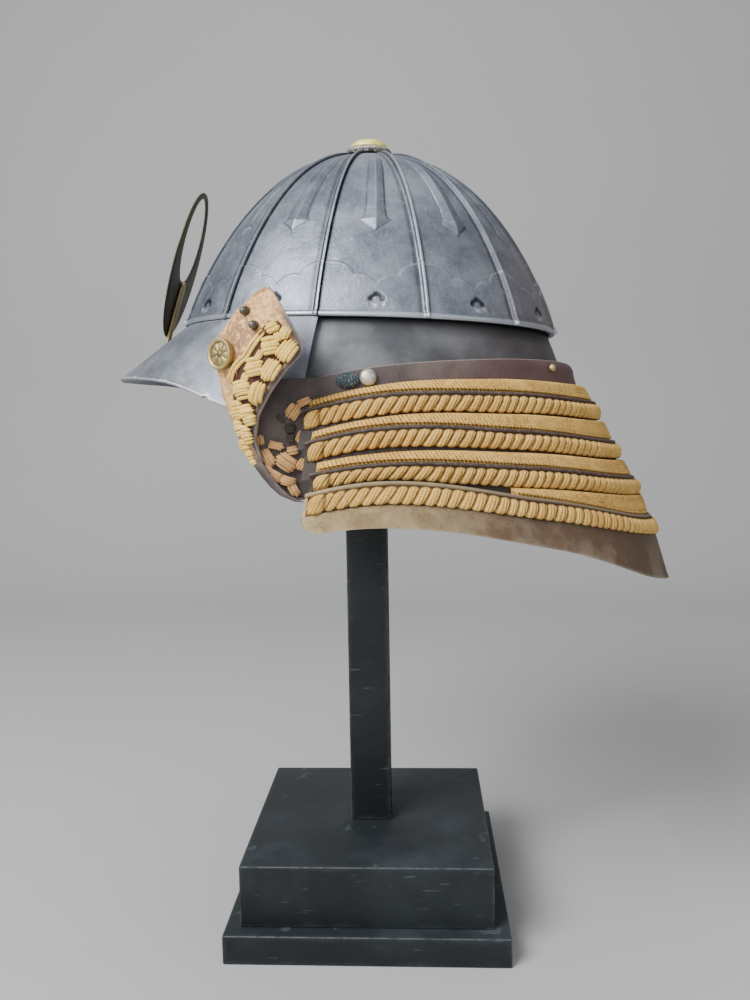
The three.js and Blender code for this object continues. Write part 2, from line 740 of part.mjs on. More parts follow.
// Outer face of a turned-back wing: it faces forwards at its front edge and sideways behind it
function leafPoint(side, x, z, out) {
  const front = alongHeight(LEAF, 'front', z);
  const low = THREE.MathUtils.clamp((LEAF_DRAW_IN_Z - z) / LEAF_DRAW_IN_DROP, 0, 1);
  const spread = THREE.MathUtils.lerp(LEAF_SPREAD, LEAF_SPREAD_LOW, low);
  const fall = Math.exp(-(x - front + LEAF_CURL_START) / LEAF_CURL_LENGTH);
  const slope = (LEAF_CURL * fall) / LEAF_CURL_LENGTH;
  const length = Math.hypot(1, slope);
  const y = spread - LEAF_CURL * fall;
  return new THREE.Vector3(x - (slope / length) * out, side * (y + out / length), z);
}

function leafNormal(side, x, z) {
  return leafPoint(side, x, z, 1).sub(leafPoint(side, x, z, 0));
}

function leaf(side) {
  const outlines = LEAF.map((row) => {
    const outer = [];
    const inner = [];
    for (let i = 0; i <= LEAF_COLUMNS; i++) {
      const x = THREE.MathUtils.lerp(row.front, row.rear, i / LEAF_COLUMNS);
      outer.push(leafPoint(side, x, row.z, 0));
      inner.unshift(leafPoint(side, x, row.z, -LEAF_THICKNESS));
    }
    return [...outer, ...inner];
  });
  return loft(outlines);
}

// Distance from the middle plane of the sheet that runs forwards from the lames' ends to the fold
function foldSheetY(x, z) {
  const depth = THREE.MathUtils.clamp((FOLD_TOP_Z - z) / FOLD_FLARE_DROP, 0, 1);
  const endY = THREE.MathUtils.lerp(FOLD_END_Y_HIGH, FOLD_END_Y_LOW, depth);
  const bendX = alongHeight(FOLD, 'front', z) + FOLD_RADIUS;
  const startX = Math.max(FOLD_END_X, bendX + FOLD_ROOM);
  const share = THREE.MathUtils.clamp((startX - x) / (startX - bendX), 0, 1);
  return THREE.MathUtils.lerp(endY, FOLD_INNER_Y, share);
}

// The top lame runs forwards past the ends of the lower lames and turns outwards into the wing
function fold(side) {
  const outlines = FOLD.map((row) => {
    const bendX = row.front + FOLD_RADIUS;
    const startX = Math.max(FOLD_END_X, bendX + FOLD_ROOM);
    const leafY = Math.abs(leafPoint(side, bendX, row.z, -LEAF_THICKNESS / 2).y);
    const middleY = (FOLD_INNER_Y + leafY) / 2;
    const halfY = (leafY - FOLD_INNER_Y) / 2;
    const line = [
      { x: FOLD_BACK, y: foldSheetY(FOLD_BACK, row.z) + FOLD_BACK_STEP, nx: 0, ny: -1 },
      { x: startX, y: foldSheetY(startX, row.z), nx: 0, ny: -1 },
    ];
    for (let i = 0; i <= FOLD_ARC_STEPS; i++) {
      const turn = (i / FOLD_ARC_STEPS) * Math.PI;
      const nx = -Math.sin(turn);
      const ny = -Math.cos(turn);
      line.push({ x: bendX + FOLD_RADIUS * nx, y: middleY + halfY * ny, nx, ny });
    }
    const half = LEAF_THICKNESS / 2;
    const outside = line.map((p) => new THREE.Vector3(p.x + p.nx * half, side * (p.y + p.ny * half), row.z));
    const inside = line.map((p) => new THREE.Vector3(p.x - p.nx * half, side * (p.y - p.ny * half), row.z));
    return [...outside, ...inside.reverse()];
  });
  return loft(outlines);
}

function buildTopLame() {
  let body = solidOf(topLameSheet());
  for (const side of [-1, 1]) {
    body = body.add(solidOf(fold(side))).add(solidOf(leaf(side)));
  }
  place(helmet, 'top_lame', geometryOf(body), lacquer);
}

function buildLames() {
  for (let i = 1; i < EDGES.length - 1; i++) {
    const edge = EDGES[i];
    const next = EDGES[i + 1];
    const lowest = i === EDGES.length - 2;
    const geometry = lowest ? lowestLame(edge, next) : lame(edge, next);
    place(helmet, `lame_${i}`, geometry, lowest ? hemLeather : lacquer);
    const surface = lowest
      ? (angle, drop, out) => {
        const depth = edgeHeight(edge, angle) - edgeHeight(next, angle);
        return edgePoint(edge, angle, out, 0).lerp(edgePoint(next, angle, out, 0), drop / depth);
      }
      : (angle, drop, out) => facePoint(edge, next, angle, drop, out);
    const cord = braid(edge, next, surface, edge.end, BRAID_DEPTHS[i - 1]);
    place(helmet, `lace_braid_${i}`, cord, strawCord);
  }
}

function buildLaceBands() {
  place(helmet, 'lace_band_1', laceBand(0, topSurface, EDGES[1].end), strawCord);
  for (let i = 1; i <= 3; i++) {
    const edge = EDGES[i];
    const next = EDGES[i + 1];
    const surface = (angle, drop, out) => facePoint(edge, next, angle, drop, out);
    const end = i === 3 ? LOWEST_BAND_END : next.end;
    place(helmet, `lace_band_${i + 1}`, laceBand(i, surface, end), strawCord);
  }
}

// Cord lumps: a low mound over the wing or over the floor of the fold
function mound(table, base, depth) {
  const COLUMNS = 4;
  const outlines = table.map((row, j) => {
    const endShare = j === 0 || j === table.length - 1 ? MOUND_EDGE : 1;
    const outer = [];
    for (let i = 0; i <= COLUMNS; i++) {
      const t = i / COLUMNS;
      const x = THREE.MathUtils.lerp(row.front, row.rear, t);
      const rise = (MOUND_EDGE + (1 - MOUND_EDGE) * Math.sin(Math.PI * t)) * endShare;
      outer.push(base(x, row.z, GAP + depth * rise));
    }
    const inner = [];
    for (let i = COLUMNS; i >= 0; i--) {
      inner.push(base(THREE.MathUtils.lerp(row.front, row.rear, i / COLUMNS), row.z, MOUND_SEAT));
    }
    return [...outer, ...inner];
  });
  return loft(outlines);
}

function foldFloor(side, x, z, out) {
  return new THREE.Vector3(x, side * (foldSheetY(x, z) + LEAF_THICKNESS / 2 + out), z);
}

// Sets a fitting with its own +Z axis along the normal at a point
function seat(geometry, point, normal) {
  const up = new THREE.Vector3(0, 0, 1);
  const turn = new THREE.Quaternion().setFromUnitVectors(up, normal.clone().normalize());
  geometry.applyQuaternion(turn);
  geometry.translate(point.x, point.y, point.z);
  return geometry;
}

function dome(radius, height, segments) {
  return turned([
    [0, 0], [radius, 0], [radius * DOME_SHOULDER.radius, height * DOME_SHOULDER.height],
    [radius * DOME_TOP.radius, height * DOME_TOP.height], [0, height],
  ], segments);
}

function buildFittings() {
  for (const [word, side] of [['left', -1], ['right', 1]]) {
    const onWing = (x, z, out) => leafPoint(side, x, z, out);
    place(helmet, `wing_lace_${word}`, mound(WING_LACE, onWing, WING_LACE_DEPTH), paleCord);
    const inFold = (x, z, out) => foldFloor(side, x, z, out);
    place(helmet, `fold_lace_${word}`, mound(FOLD_LACE, inFold, FOLD_LACE_DEPTH), brownCord);

    const rim = BOSS.radius;
    const boss = turned([
      [0, 0], [rim, 0], [rim, BOSS.height], [rim * BOSS_DISH.lip, BOSS.height],
      [rim * BOSS_DISH.floorRadius, BOSS.height * BOSS_DISH.floorHeight],
      [0, BOSS.height * BOSS_DISH.middleHeight],
    ], 16);
    const bossPoint = leafPoint(side, BOSS.x, BOSS.z, BOSS.seat);
    place(helmet, `boss_${word}`, seat(boss, bossPoint, leafNormal(side, BOSS.x, BOSS.z)), brass);

    LEAF_STUDS.forEach((stud, i) => {
      const point = leafPoint(side, stud.x, stud.z, LEAF_STUD_SEAT);
      const geometry = dome(LEAF_STUD_RADIUS, LEAF_STUD_HEIGHT, 10);
      const node = `wing_stud_${i + 1}_${word}`;
      place(helmet, node, seat(geometry, point, leafNormal(side, stud.x, stud.z)), bandIron);
    });

    const onTop = (spot, geometry, name, material) => {
      const angle = -side * spot.angle * DEGREE;
      const point = topSurface(angle, spot.drop, NECK_SEAT);
      const normal = new THREE.Vector3(
        Math.cos(angle) / EDGES[0].length, -Math.sin(angle) / EDGES[0].width, 0).normalize();
      normal.z = NECK_LEAN;
      place(helmet, `${name}_${word}`, seat(geometry, point, normal), material);
    };
    onTop(RIVET, dome(RIVET.radius, RIVET.height, 14), 'neck_rivet', pewter);
    onTop(BACK_STUD, dome(BACK_STUD.radius, BACK_STUD.height, 10), 'back_stud', brass);
    const knot = dome(KNOT.height / 2, KNOT.depth, 14);
    knot.scale(KNOT.length / KNOT.height, 1, 1);
    if (side > 0) knot.rotateZ(Math.PI);
    onTop(KNOT, knot, 'cloth_knot', darkCloth);
  }
}

// The crest's own plane: across is Y, up leans back by the crest's lean
function buildCrest() {
  const centre = CREST_HEIGHT / 2;
  const shape = new THREE.Shape();
  const holeCentre = (CREST_HOLE_LOW + CREST_HOLE_HIGH) / 2;
  const holeHalf = (CREST_HOLE_HIGH - CREST_HOLE_LOW) / 2;
  const outerCut = Math.asin(CREST_SLIT / 2 / CREST_HALF_WIDTH);
  const innerCut = Math.asin(CREST_SLIT / 2 / CREST_HOLE_HALF_WIDTH);
  const top = Math.PI / 2;
  shape.absellipse(0, centre, CREST_HALF_WIDTH, centre, top + outerCut, top - outerCut + 2 * Math.PI, false);
  shape.absellipse(0, holeCentre, CREST_HOLE_HALF_WIDTH, holeHalf,
    top - innerCut + 2 * Math.PI, top + innerCut, true);
  const crest = new THREE.ExtrudeGeometry(shape, {
    depth: CREST_THICKNESS, curveSegments: 20, bevelEnabled: false,
  });
  const crestPlane = new THREE.Group();
  crestPlane.position.set(CREST_FOOT_X, 0, CREST_FOOT_Z);
  crestPlane.rotation.y = CREST_LEAN;
  helmet.add(crestPlane);
  const upright = new THREE.Matrix4().makeBasis(
    new THREE.Vector3(0, 1, 0), new THREE.Vector3(0, 0, 1), new THREE.Vector3(1, 0, 0));
  crest.applyMatrix4(upright);
  place(crestPlane, 'crest', crest, crestBronze);
  const bar = new THREE.BoxGeometry(HOLDER_DEPTH, HOLDER_WIDTH, HOLDER_HIGH - HOLDER_LOW);
  const holder = place(crestPlane, 'crest_holder', bar, brass);
  holder.position.set(
    CREST_THICKNESS + GAP + HOLDER_DEPTH / 2, 0, (HOLDER_HIGH + HOLDER_LOW) / 2);
}

helmet.position.set(HELMET_SHIFT, 0, RIM_HEIGHT);
helmet.rotation.set(0, HELMET_TILT, HELMET_TURN, 'ZYX');

buildStand();
buildBowl();
buildBand();
buildPeak();
buildCrown();
buildRest();
buildTopLame();
buildLames();
buildLaceBands();
buildFittings();
buildCrest();

const group = new THREE.Group();
group.add(stand, helmet);
group.updateMatrixWorld(true);
export default group;
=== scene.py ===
"""A samurai helmet on its post stand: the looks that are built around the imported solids."""

import bpy
import numpy as np
from mathutils import Matrix


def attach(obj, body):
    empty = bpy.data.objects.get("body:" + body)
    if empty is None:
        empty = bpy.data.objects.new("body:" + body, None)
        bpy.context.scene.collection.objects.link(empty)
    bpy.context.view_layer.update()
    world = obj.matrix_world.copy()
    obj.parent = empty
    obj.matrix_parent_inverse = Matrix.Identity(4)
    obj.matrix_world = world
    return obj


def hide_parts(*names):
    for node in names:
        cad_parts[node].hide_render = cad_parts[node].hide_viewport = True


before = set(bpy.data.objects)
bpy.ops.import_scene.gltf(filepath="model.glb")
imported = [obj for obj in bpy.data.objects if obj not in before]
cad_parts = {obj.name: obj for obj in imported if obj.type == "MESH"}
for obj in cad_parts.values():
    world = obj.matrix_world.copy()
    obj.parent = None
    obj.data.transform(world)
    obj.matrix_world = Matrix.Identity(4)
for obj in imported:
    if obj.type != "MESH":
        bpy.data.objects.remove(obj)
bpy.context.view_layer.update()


# ---- Camera -------------------------------------------------------------------------------------
# It stands 0.57 m from the left side of the helmet, level with the neck guard, and looks slightly
# down and across. Its place and field of view come from the edges of the stand in the photograph.
eye = (0.03342, -0.570397, 0.315922)
yaw, pitch, roll = np.radians([2.822, -5.204, 0.941])


def turn(axis, angle):
    """Rotation matrix by that angle about one of the axes 0, 1, 2."""
    first, second = [(1, 2), (2, 0), (0, 1)][axis]
    matrix = np.eye(3)
    matrix[first, first] = matrix[second, second] = np.cos(angle)
    matrix[second, first] = np.sin(angle)
    matrix[first, second] = -np.sin(angle)
    return matrix


gaze = turn(2, yaw) @ turn(0, pitch) @ turn(1, roll)
camera_data = bpy.data.cameras.new("camera")
camera_data.sensor_width = 36.0
camera_data.lens = 31.936
camera = bpy.data.objects.new("camera", camera_data)
bpy.context.scene.collection.objects.link(camera)
bpy.context.scene.camera = camera
view_axes = np.stack([gaze[:, 0], gaze[:, 2], -gaze[:, 1]], axis=1)
camera.matrix_world = Matrix.Translation(eye) @ Matrix(view_axes.tolist()).to_4x4()


# ---- Floor and light ----------------------------------------------------------------------------
# A plain pale floor that curves up behind the object, one large soft light high on the left, a weaker
# one on the right, a strip above, and an even grey room for the metal to mirror.
class Paint:
    """A value inside a material: sums and products of such values add Math nodes to it."""

    def __init__(self, tree, socket=None):
        self.tree = tree
        self.socket = socket

    def node(self, kind, settings=None, inputs=None, out=0):
        """Adds a node, sets its settings, then fills its sockets with numbers or links."""
        node = self.tree.nodes.new(kind)
        for key, value in (settings or {}).items():
            setattr(node, key, value)
        for key, value in (inputs or {}).items():
            if isinstance(value, Paint):
                self.tree.links.new(value.socket, node.inputs[key])
            else:
                node.inputs[key].default_value = value
        return Paint(self.tree, node.outputs[out])

    def maths(self, operation, *values):
        return self.node("ShaderNodeMath", {"operation": operation}, dict(enumerate(values)))

    def __add__(self, other):
        return self.maths("ADD", self, other)

    def __sub__(self, other):
        return self.maths("SUBTRACT", self, other)

    def __rsub__(self, other):
        return self.maths("SUBTRACT", other, self)

    def __mul__(self, other):
        return self.maths("MULTIPLY", self, other)

    __radd__ = __add__
    __rmul__ = __mul__

    def least(self, other):
        return self.maths("MINIMUM", self, other)

    def most(self, other):
        return self.maths("MAXIMUM", self, other)

    def size(self):
        return self.maths("ABSOLUTE", self)

    def rise(self, low, high):
        """0 below low, 1 above high, smooth between; low may be the larger one."""
        settings = {"interpolation_type": "SMOOTHSTEP"}
        return self.node("ShaderNodeMapRange", settings, {"Value": self, "From Min": low, "From Max": high})

    def blend(self, first, second):
        """The first colour where this value is 0, the second where it is 1."""
        first, second = [c if isinstance(c, Paint) else (*c, 1) for c in (first, second)]
        return self.node("ShaderNodeMix", {"data_type": "RGBA"}, {0: self, 6: first, 7: second}, out=2)

    def axis(self, number):
        """One coordinate of this position, 0 for x, 1 for y, 2 for z."""
        return self.node("ShaderNodeSeparateXYZ", {}, {0: self}, out=number)

    def stretch(self, x, y, z):
        return self.node("ShaderNodeVectorMath", {"operation": "MULTIPLY"}, {0: self, 1: (x, y, z)})

    def noise(self, scale, detail=3, rough=0.55):
        """Cloudy pattern on this position, about 0.5 on average."""
        inputs = {"Vector": self, "Scale": scale, "Detail": detail, "Roughness": rough}
        return self.node("ShaderNodeTexNoise", {}, inputs)

    def mark(self, name):
        """A number that the mesh carries at its points."""
        return self.node("ShaderNodeAttribute", {"attribute_name": name}, {}, out=2)

    def bump(self, depth, strength=1.0):
        """A surface normal from this height, whose full range is depth in metres."""
        inputs = {"Strength": strength, "Distance": depth, "Height": self}
        return self.node("ShaderNodeBump", {}, inputs)


def material(name, look):
    """A material whose shader sockets are filled by look(place), place being Object coordinates."""
    made = bpy.data.materials.new(name)
    made.use_nodes = True
    skin = made.node_tree.nodes["Principled BSDF"]
    place = Paint(made.node_tree).node("ShaderNodeTexCoord", out="Object")
    for key, value in look(place).items():
        if isinstance(value, Paint):
            made.node_tree.links.new(value.socket, skin.inputs[key])
        else:
            skin.inputs[key].default_value = (*value, 1) if isinstance(value, tuple) else value
    return made


def joined(x, y, z):
    """Points from their three coordinates, each an array or a number."""
    return np.stack(np.broadcast_arrays(x, y, z), axis=-1)


def quads(rows, columns, ring=False):
    """Faces of a grid of rows by columns; with ring, the last column joins the first."""
    i, j = np.meshgrid(np.arange(rows - 1), np.arange(columns if ring else columns - 1), indexing="ij")
    right = (j + 1) % columns
    corners = [i * columns + j, i * columns + right, (i + 1) * columns + right, (i + 1) * columns + j]
    return np.stack(corners, axis=-1).reshape(-1, 4)


def mesh_object(name, points, faces, look, marks=None, crease=40):
    """A smooth-shaded mesh object from points in metres and arrays of faces. A mark is one number, or
    values for the first points with 0 for the rest, or a pair of such values and the rest's number.
    The sum of all corner volumes to the middle is made positive, so that faces point outwards."""
    points = points.reshape(-1, 3)
    centred = points - points.mean(axis=0)
    volume = 0.0
    for group in faces:
        for k in range(1, group.shape[1] - 1):
            a, b, c = (centred[group[:, m]] for m in (0, k, k + 1))
            volume += np.einsum("ij,ij->i", a, np.cross(b, c)).sum()
    if volume < 0:
        faces = [group[:, ::-1] for group in faces]
    mesh = bpy.data.meshes.new(name)
    mesh.from_pydata(points.tolist(), [], [face for group in faces for face in group.tolist()])
    for key, value in (marks or {}).items():
        first, rest = value if isinstance(value, tuple) else (value, 0 if np.ndim(value) else value)
        whole = np.full(len(points), rest, dtype=np.float32)
        whole[: np.size(first)] = np.ravel(first)
        mesh.attributes.new(key, "FLOAT", "POINT").data.foreach_set("value", whole)
    mesh.shade_smooth()
    mesh.set_sharp_from_angle(angle=np.radians(crease))
    mesh.materials.append(look)
    made = bpy.data.objects.new(name, mesh)
    bpy.context.scene.collection.objects.link(made)
    return made


def floor_look(place):
    cloud = place.noise(3.0)
    return {"Base Color": cloud.blend((0.48, 0.48, 0.48), (0.52, 0.52, 0.52)), "Roughness": 0.8}


def floor_sheet():
    """A sheet level in front, curving up a quarter circle 0.5 m in radius, then upright behind."""
    bend = np.linspace(0.1, np.pi / 2, 16)
    along = np.concatenate([np.linspace(-2.5, 0.9, 8), 0.9 + 0.5 * np.sin(bend), [1.4]])
    up = np.concatenate([np.zeros(8), 0.5 - 0.5 * np.cos(bend), [3.0]])
    return joined(np.linspace(-3, 3, 13), along[:, None], up[:, None])


floor = mesh_object("floor", floor_sheet(), [quads(25, 13)], material("floor_paper", floor_look))

for name, spot, aim, width, height, power in [
    ("light_left", (-0.85, -1.05, 1.35), (0.0, 0.0, 0.36), 0.9, 0.8, 48),
    ("light_right", (1.35, -0.9, 1.05), (0.0, 0.0, 0.34), 0.7, 0.9, 4),
    ("light_above", (0.15, 0.1, 1.75), (0.0, 0.0, 0.30), 1.2, 0.5, 4),
    ("light_front", (0.0, -1.9, 0.85), (0.0, 0.0, 0.30), 1.4, 0.4, 11),
]:
    lamp_data = bpy.data.lights.new(name, "AREA")
    lamp_data.shape = "RECTANGLE"
    lamp_data.size, lamp_data.size_y = width, height
    lamp_data.energy = power
    lamp = bpy.data.objects.new(name, lamp_data)
    bpy.context.scene.collection.objects.link(lamp)
    back = np.array(spot) - np.array(aim)
    back /= np.linalg.norm(back)
    side = np.cross((0, 0, 1), back)
    side /= np.linalg.norm(side)
    axes = np.stack([side, np.cross(back, side), back], axis=1)
    lamp.matrix_world = Matrix.Translation(spot) @ Matrix(axes.tolist()).to_4x4()

room = bpy.data.worlds.new("room")
room.use_nodes = True
room.node_tree.nodes["Background"].inputs["Color"].default_value = (0.80, 0.83, 0.88, 1)
room.node_tree.nodes["Background"].inputs["Strength"].default_value = 0.28
bpy.context.scene.world = room


# ---- Stand --------------------------------------------------------------------------------------
# A square foot, a square block and a square post of softwood, glued and painted a matt blue-black.
# The paint is smudged and scratched, and rubbed through to a pale grey along the edges. The top face of
# each bar is painted lighter, as if lit from above.
foot_side, foot_height = 168.3, 17.6
block_side, block_low, block_high = 150.0, 17.9, 55.1
post_side, post_low, post_high = 25.9, 55.4, 464.6


def square_bar(side, low, high, easing):
    """A square bar in mm, as rings of points from its bottom centre to its top centre: each ring is a
    square whose corners are rounded by the easing, and the rings draw in by it at both ends."""
    half = side / 2
    bend = np.linspace(0, np.pi / 2, 5)
    fall, climb = easing * (1 - np.cos(bend)), easing * (1 - np.sin(bend))
    heights = np.concatenate([[low], low + fall, high - climb, [high]])
    drawn = np.concatenate([[half], climb, fall, [half]])
    arc = np.linspace(0, np.pi / 2, 6)
    ring = []
    for quarter in range(4):
        corner = (half - easing) + easing * np.stack([np.cos(arc), np.sin(arc)], axis=1)
        spin = turn(2, quarter * np.pi / 2)[:2, :2]
        ring.append(corner @ spin.T)
    x, y = np.concatenate(ring).T
    shrink = np.maximum(1 - drawn / half, 1e-4)[:, None]
    return joined(x * shrink, y * shrink, heights[:, None]) / 1000


def stand_paint(side, low, high):
    """Paint for one square bar: e is the distance from the nearest edge of the bar."""
    def look(place):
        z = place.axis(2)
        in_x, in_y = (side / 2000 - place.axis(k).size() for k in (0, 1))
        near = in_x.least(in_y)
        upper = (high / 1000 - z).least(z - low / 1000)
        e = near.most(upper).least(in_x.most(in_y))
        fray = place.noise(130, 4, 0.7)
        worn = (e + 0.0022 * fray).rise(0.0021, 0.0009)
        upward = z.rise(high / 1000 - 0.0006, high / 1000 - 0.0002)
        rubbed = (e + 0.010 * place.noise(45, 4, 0.7)).rise(0.0085, 0.0040) * 0.35
        smudge = place.noise(17, 4, 0.62).rise(0.42, 0.74)
        cloud = place.noise(7, 3, 0.5).rise(0.35, 0.7)
        scratch = place.stretch(60, 60, 500).noise(1.0, 3, 0.5).rise(0.66, 0.72)
        fine = place.noise(1500, 2)
        deep = cloud.blend((0.0030, 0.0046, 0.0054), (0.0065, 0.0098, 0.0115))
        # Painted light: the top face is made lighter, over the paint's own smudges.
        smudged_and_top_lit = (smudge * (0.18 + 0.3 * upward) + 0.25 * upward).blend(deep, (0.046, 0.058, 0.070))
        marked = (scratch * 0.35).blend(smudged_and_top_lit, (0.10, 0.12, 0.125))
        rub = (rubbed * 0.6).blend(marked, (0.060, 0.072, 0.078))
        return {
            "Base Color": (worn * 0.55 * fray.rise(0.4, 0.6)).blend(rub, (0.26, 0.30, 0.31)),
            "Roughness": 0.52 + 0.16 * smudge + 0.05 * fine,
            "Specular IOR Level": 0.35,
            "Normal": (fine + 1.5 * place.noise(300, 3)).bump(0.0001, 0.5),
        }
    return look


def dress(name, points, faces, look, nodes, slot, marks=None, crease=40):
    """Makes a piece in metres, lets it ride on the one body, and hides the nodes it stands for."""
    made = mesh_object(name, points, faces, look, marks, crease)
    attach(made, "root")
    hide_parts(*nodes)


for name, side, low, high in [
    ("stand_foot", foot_side, 0.0, foot_height),
    ("stand_block", block_side, block_low, block_high),
    ("stand_post", post_side, post_low, post_high),
]:
    rings = square_bar(side, low, high, 0.9)
    paint = material(name + "_paint", stand_paint(side, low, high))
    dress(name + "_look", rings, [quads(*rings.shape[:2], ring=True)], paint, [name], "stand_paint")

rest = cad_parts["crown_rest"]
rest.material_slots[0].material = material("rest_paint", stand_paint(60, 440, 480))


# ---- Bowl ---------------------------------------------------------------------------------------
# Twelve iron plates, riveted from inside. Each has one edge turned up into a polished rib, a hammered arrow
# with a ridge, an engraved scalloped line, a small heart and a foot turned out into a lip. Painted
# highlights lie on the rib, the ridge, the line, the heart's lower rim and the lip, and painted shade lies
# in the grooves and on the shaded slopes.
bowl_length, bowl_width, bowl_height = 227.6, 189.0, 106.3
rise_power, round_power, crown_shift = 1.17, 2.28, -1.0
plate_wall, plate_gap, plate_span = 1.6, 0.4, np.pi / 6
rib_width, rib_height = 2.5, 1.9
tilt, helmet_turn, seat = np.radians(2.2), np.radians(4.1), (4.4, 0.0, 372.0)


def on_post(points):
    """Points of the helmet's own frame in mm, tilted back and turned on the post, in metres."""
    return (points @ (turn(2, helmet_turn) @ turn(1, tilt)).T + seat) / 1000


def add_piece(name, points, faces, *details, **more):
    """As dress, for a piece of the helmet that is given in the helmet's own frame."""
    dress(name + "_look", on_post(points.reshape(-1, 3)), faces, *details, **more)


def surface_normals(points):
    """Unit normals of a grid: the cross product of its steps along columns and along rows."""
    across = np.gradient(points, axis=1)
    along = np.gradient(points, axis=0)
    normal = np.cross(across, along)
    return normal / np.maximum(np.linalg.norm(normal, axis=-1, keepdims=True), 1e-9)


def shell(outer, inner):
    """A closed wall from a fine outer grid and a coarser inner grid with an even share of its points:
    both borders run round the same way, and a rim of triangles joins them."""
    rows, columns = outer.shape[:2]
    low_rows, low_columns = inner.shape[:2]

    def border(m, n):
        edge = [np.arange(n - 1), np.arange(m - 1) * n + n - 1]
        edge += [(m - 1) * n + np.arange(n - 1, 0, -1), np.arange(m - 1, 0, -1) * n]
        return np.concatenate(edge)

    count = rows * columns
    fine = border(rows, columns)
    coarse = border(low_rows, low_columns) + count
    share = len(fine) // len(coarse)
    nearest = np.repeat(coarse, share)
    rim = np.stack([np.roll(fine, -1), fine, nearest], axis=1)
    ends = np.roll(fine, -share)[::share]
    close = np.stack([ends, coarse, np.roll(coarse, -1)], axis=1)
    faces = [quads(rows, columns), quads(low_rows, low_columns)[:, ::-1] + count, rim, close]
    return np.concatenate([outer.reshape(-1, 3), inner.reshape(-1, 3)]), faces


def bowl_surface(angle, rise):
    """Half ellipse upwards: the radius is (1 - rise^p)^(1/q) of the rim's, which is an ellipse."""
    share = (1 - np.clip(rise, 0, 1) ** rise_power) ** (1 / round_power)
    x = bowl_length / 2 * share * np.cos(angle) + crown_shift * rise ** 2
    y = -bowl_width / 2 * share * np.sin(angle)
    return np.stack([x, y, bowl_height * rise], axis=-1)


def ease(value, low, high):
    """Smooth step from 0 at low to 1 at high."""
    t = np.clip((value - low) / (high - low), 0, 1)
    return t * t * (3 - 2 * t)


fine_rise = 1 - np.linspace(1, 0.0022 ** 0.5, 1500) ** 2
side_curve = bowl_surface(np.full(1500, np.pi / 2), fine_rise)
side_arc = np.concatenate([[0], np.cumsum(np.linalg.norm(np.diff(side_curve, axis=0), axis=1))])
row_spacing = np.interp(side_arc, [0, 12, 14, 31, 34, 47, 49, 62, 66],
                        [0.55, 0.6, 0.36, 0.36, 1.3, 1.3, 0.55, 0.6, 1.35])
row_count = np.concatenate([[0], np.cumsum(np.diff(side_arc) / row_spacing[1:])])
plate_arcs = np.interp(np.linspace(0, row_count[-1], 160), row_count, side_arc)
plate_rises = np.interp(plate_arcs, side_arc, fine_rise)
lip_heights = np.array([-2.0, -1.9, -1.5, -0.9, -0.2, 0.4, 0.9, 1.5, 2.3])
lip_reach = np.array([0.9, 1.4, 1.7, 1.8, 1.7, 1.4, 0.8, 0.3, 0.08])


def plate_start(index):
    """Angle of a plate's ribbed edge, from the rear of the bowl round by its left side."""
    return np.radians(15 + 30 * index)


def plate_points(index, columns, rises, heights=None):
    """Grid of one plate: rows rise from the foot, columns run from the rib to the plain edge. The first
    columns are kept close over the rib. Returns points and the distances along each row in mm."""
    start = plate_start(index)
    share = (1 - rises ** rise_power) ** (1 / round_power)
    middle = start + plate_span / 2
    radius = share * np.hypot(bowl_length / 2 * np.sin(middle), bowl_width / 2 * np.cos(middle))
    width = radius * plate_span
    rib_zone = np.minimum(4.4, width * 0.4)
    first = np.linspace(0, 1, columns // 6)
    rest = np.linspace(0, 1, columns - len(first) + 1)[1:]
    along = [rib_zone[:, None] * first, rib_zone[:, None] + (width - rib_zone)[:, None] * rest]
    along = np.concatenate(along, axis=1)
    along = plate_gap / 2 + along * (1 - plate_gap / width)[:, None]
    points = bowl_surface(start + along / radius[:, None], np.repeat(rises[:, None], columns, axis=1))
    if heights is not None:
        points[: len(heights), :, 2] = heights[:, None]
    return points, along, width[:, None]


arrow_up = [50.5, 57.1, 58.2, 59.9, 62, 68, 78, 102, 124]
arrow_half = [0.0, 8.05, 6.8, 5.9, 5.5, 5.0, 4.7, 4.2, 2.8]
line_across = [0, 1, 2.2, 4.5, 7.3, 9.8, 12, 12.6, 13.7, 16, 19.5, 23, 30]
line_up = [16.0, 17.4, 18.5, 20.5, 21.8, 22.2, 21.3, 22.8, 24.9, 27.2, 28.8, 29.5, 29.6]


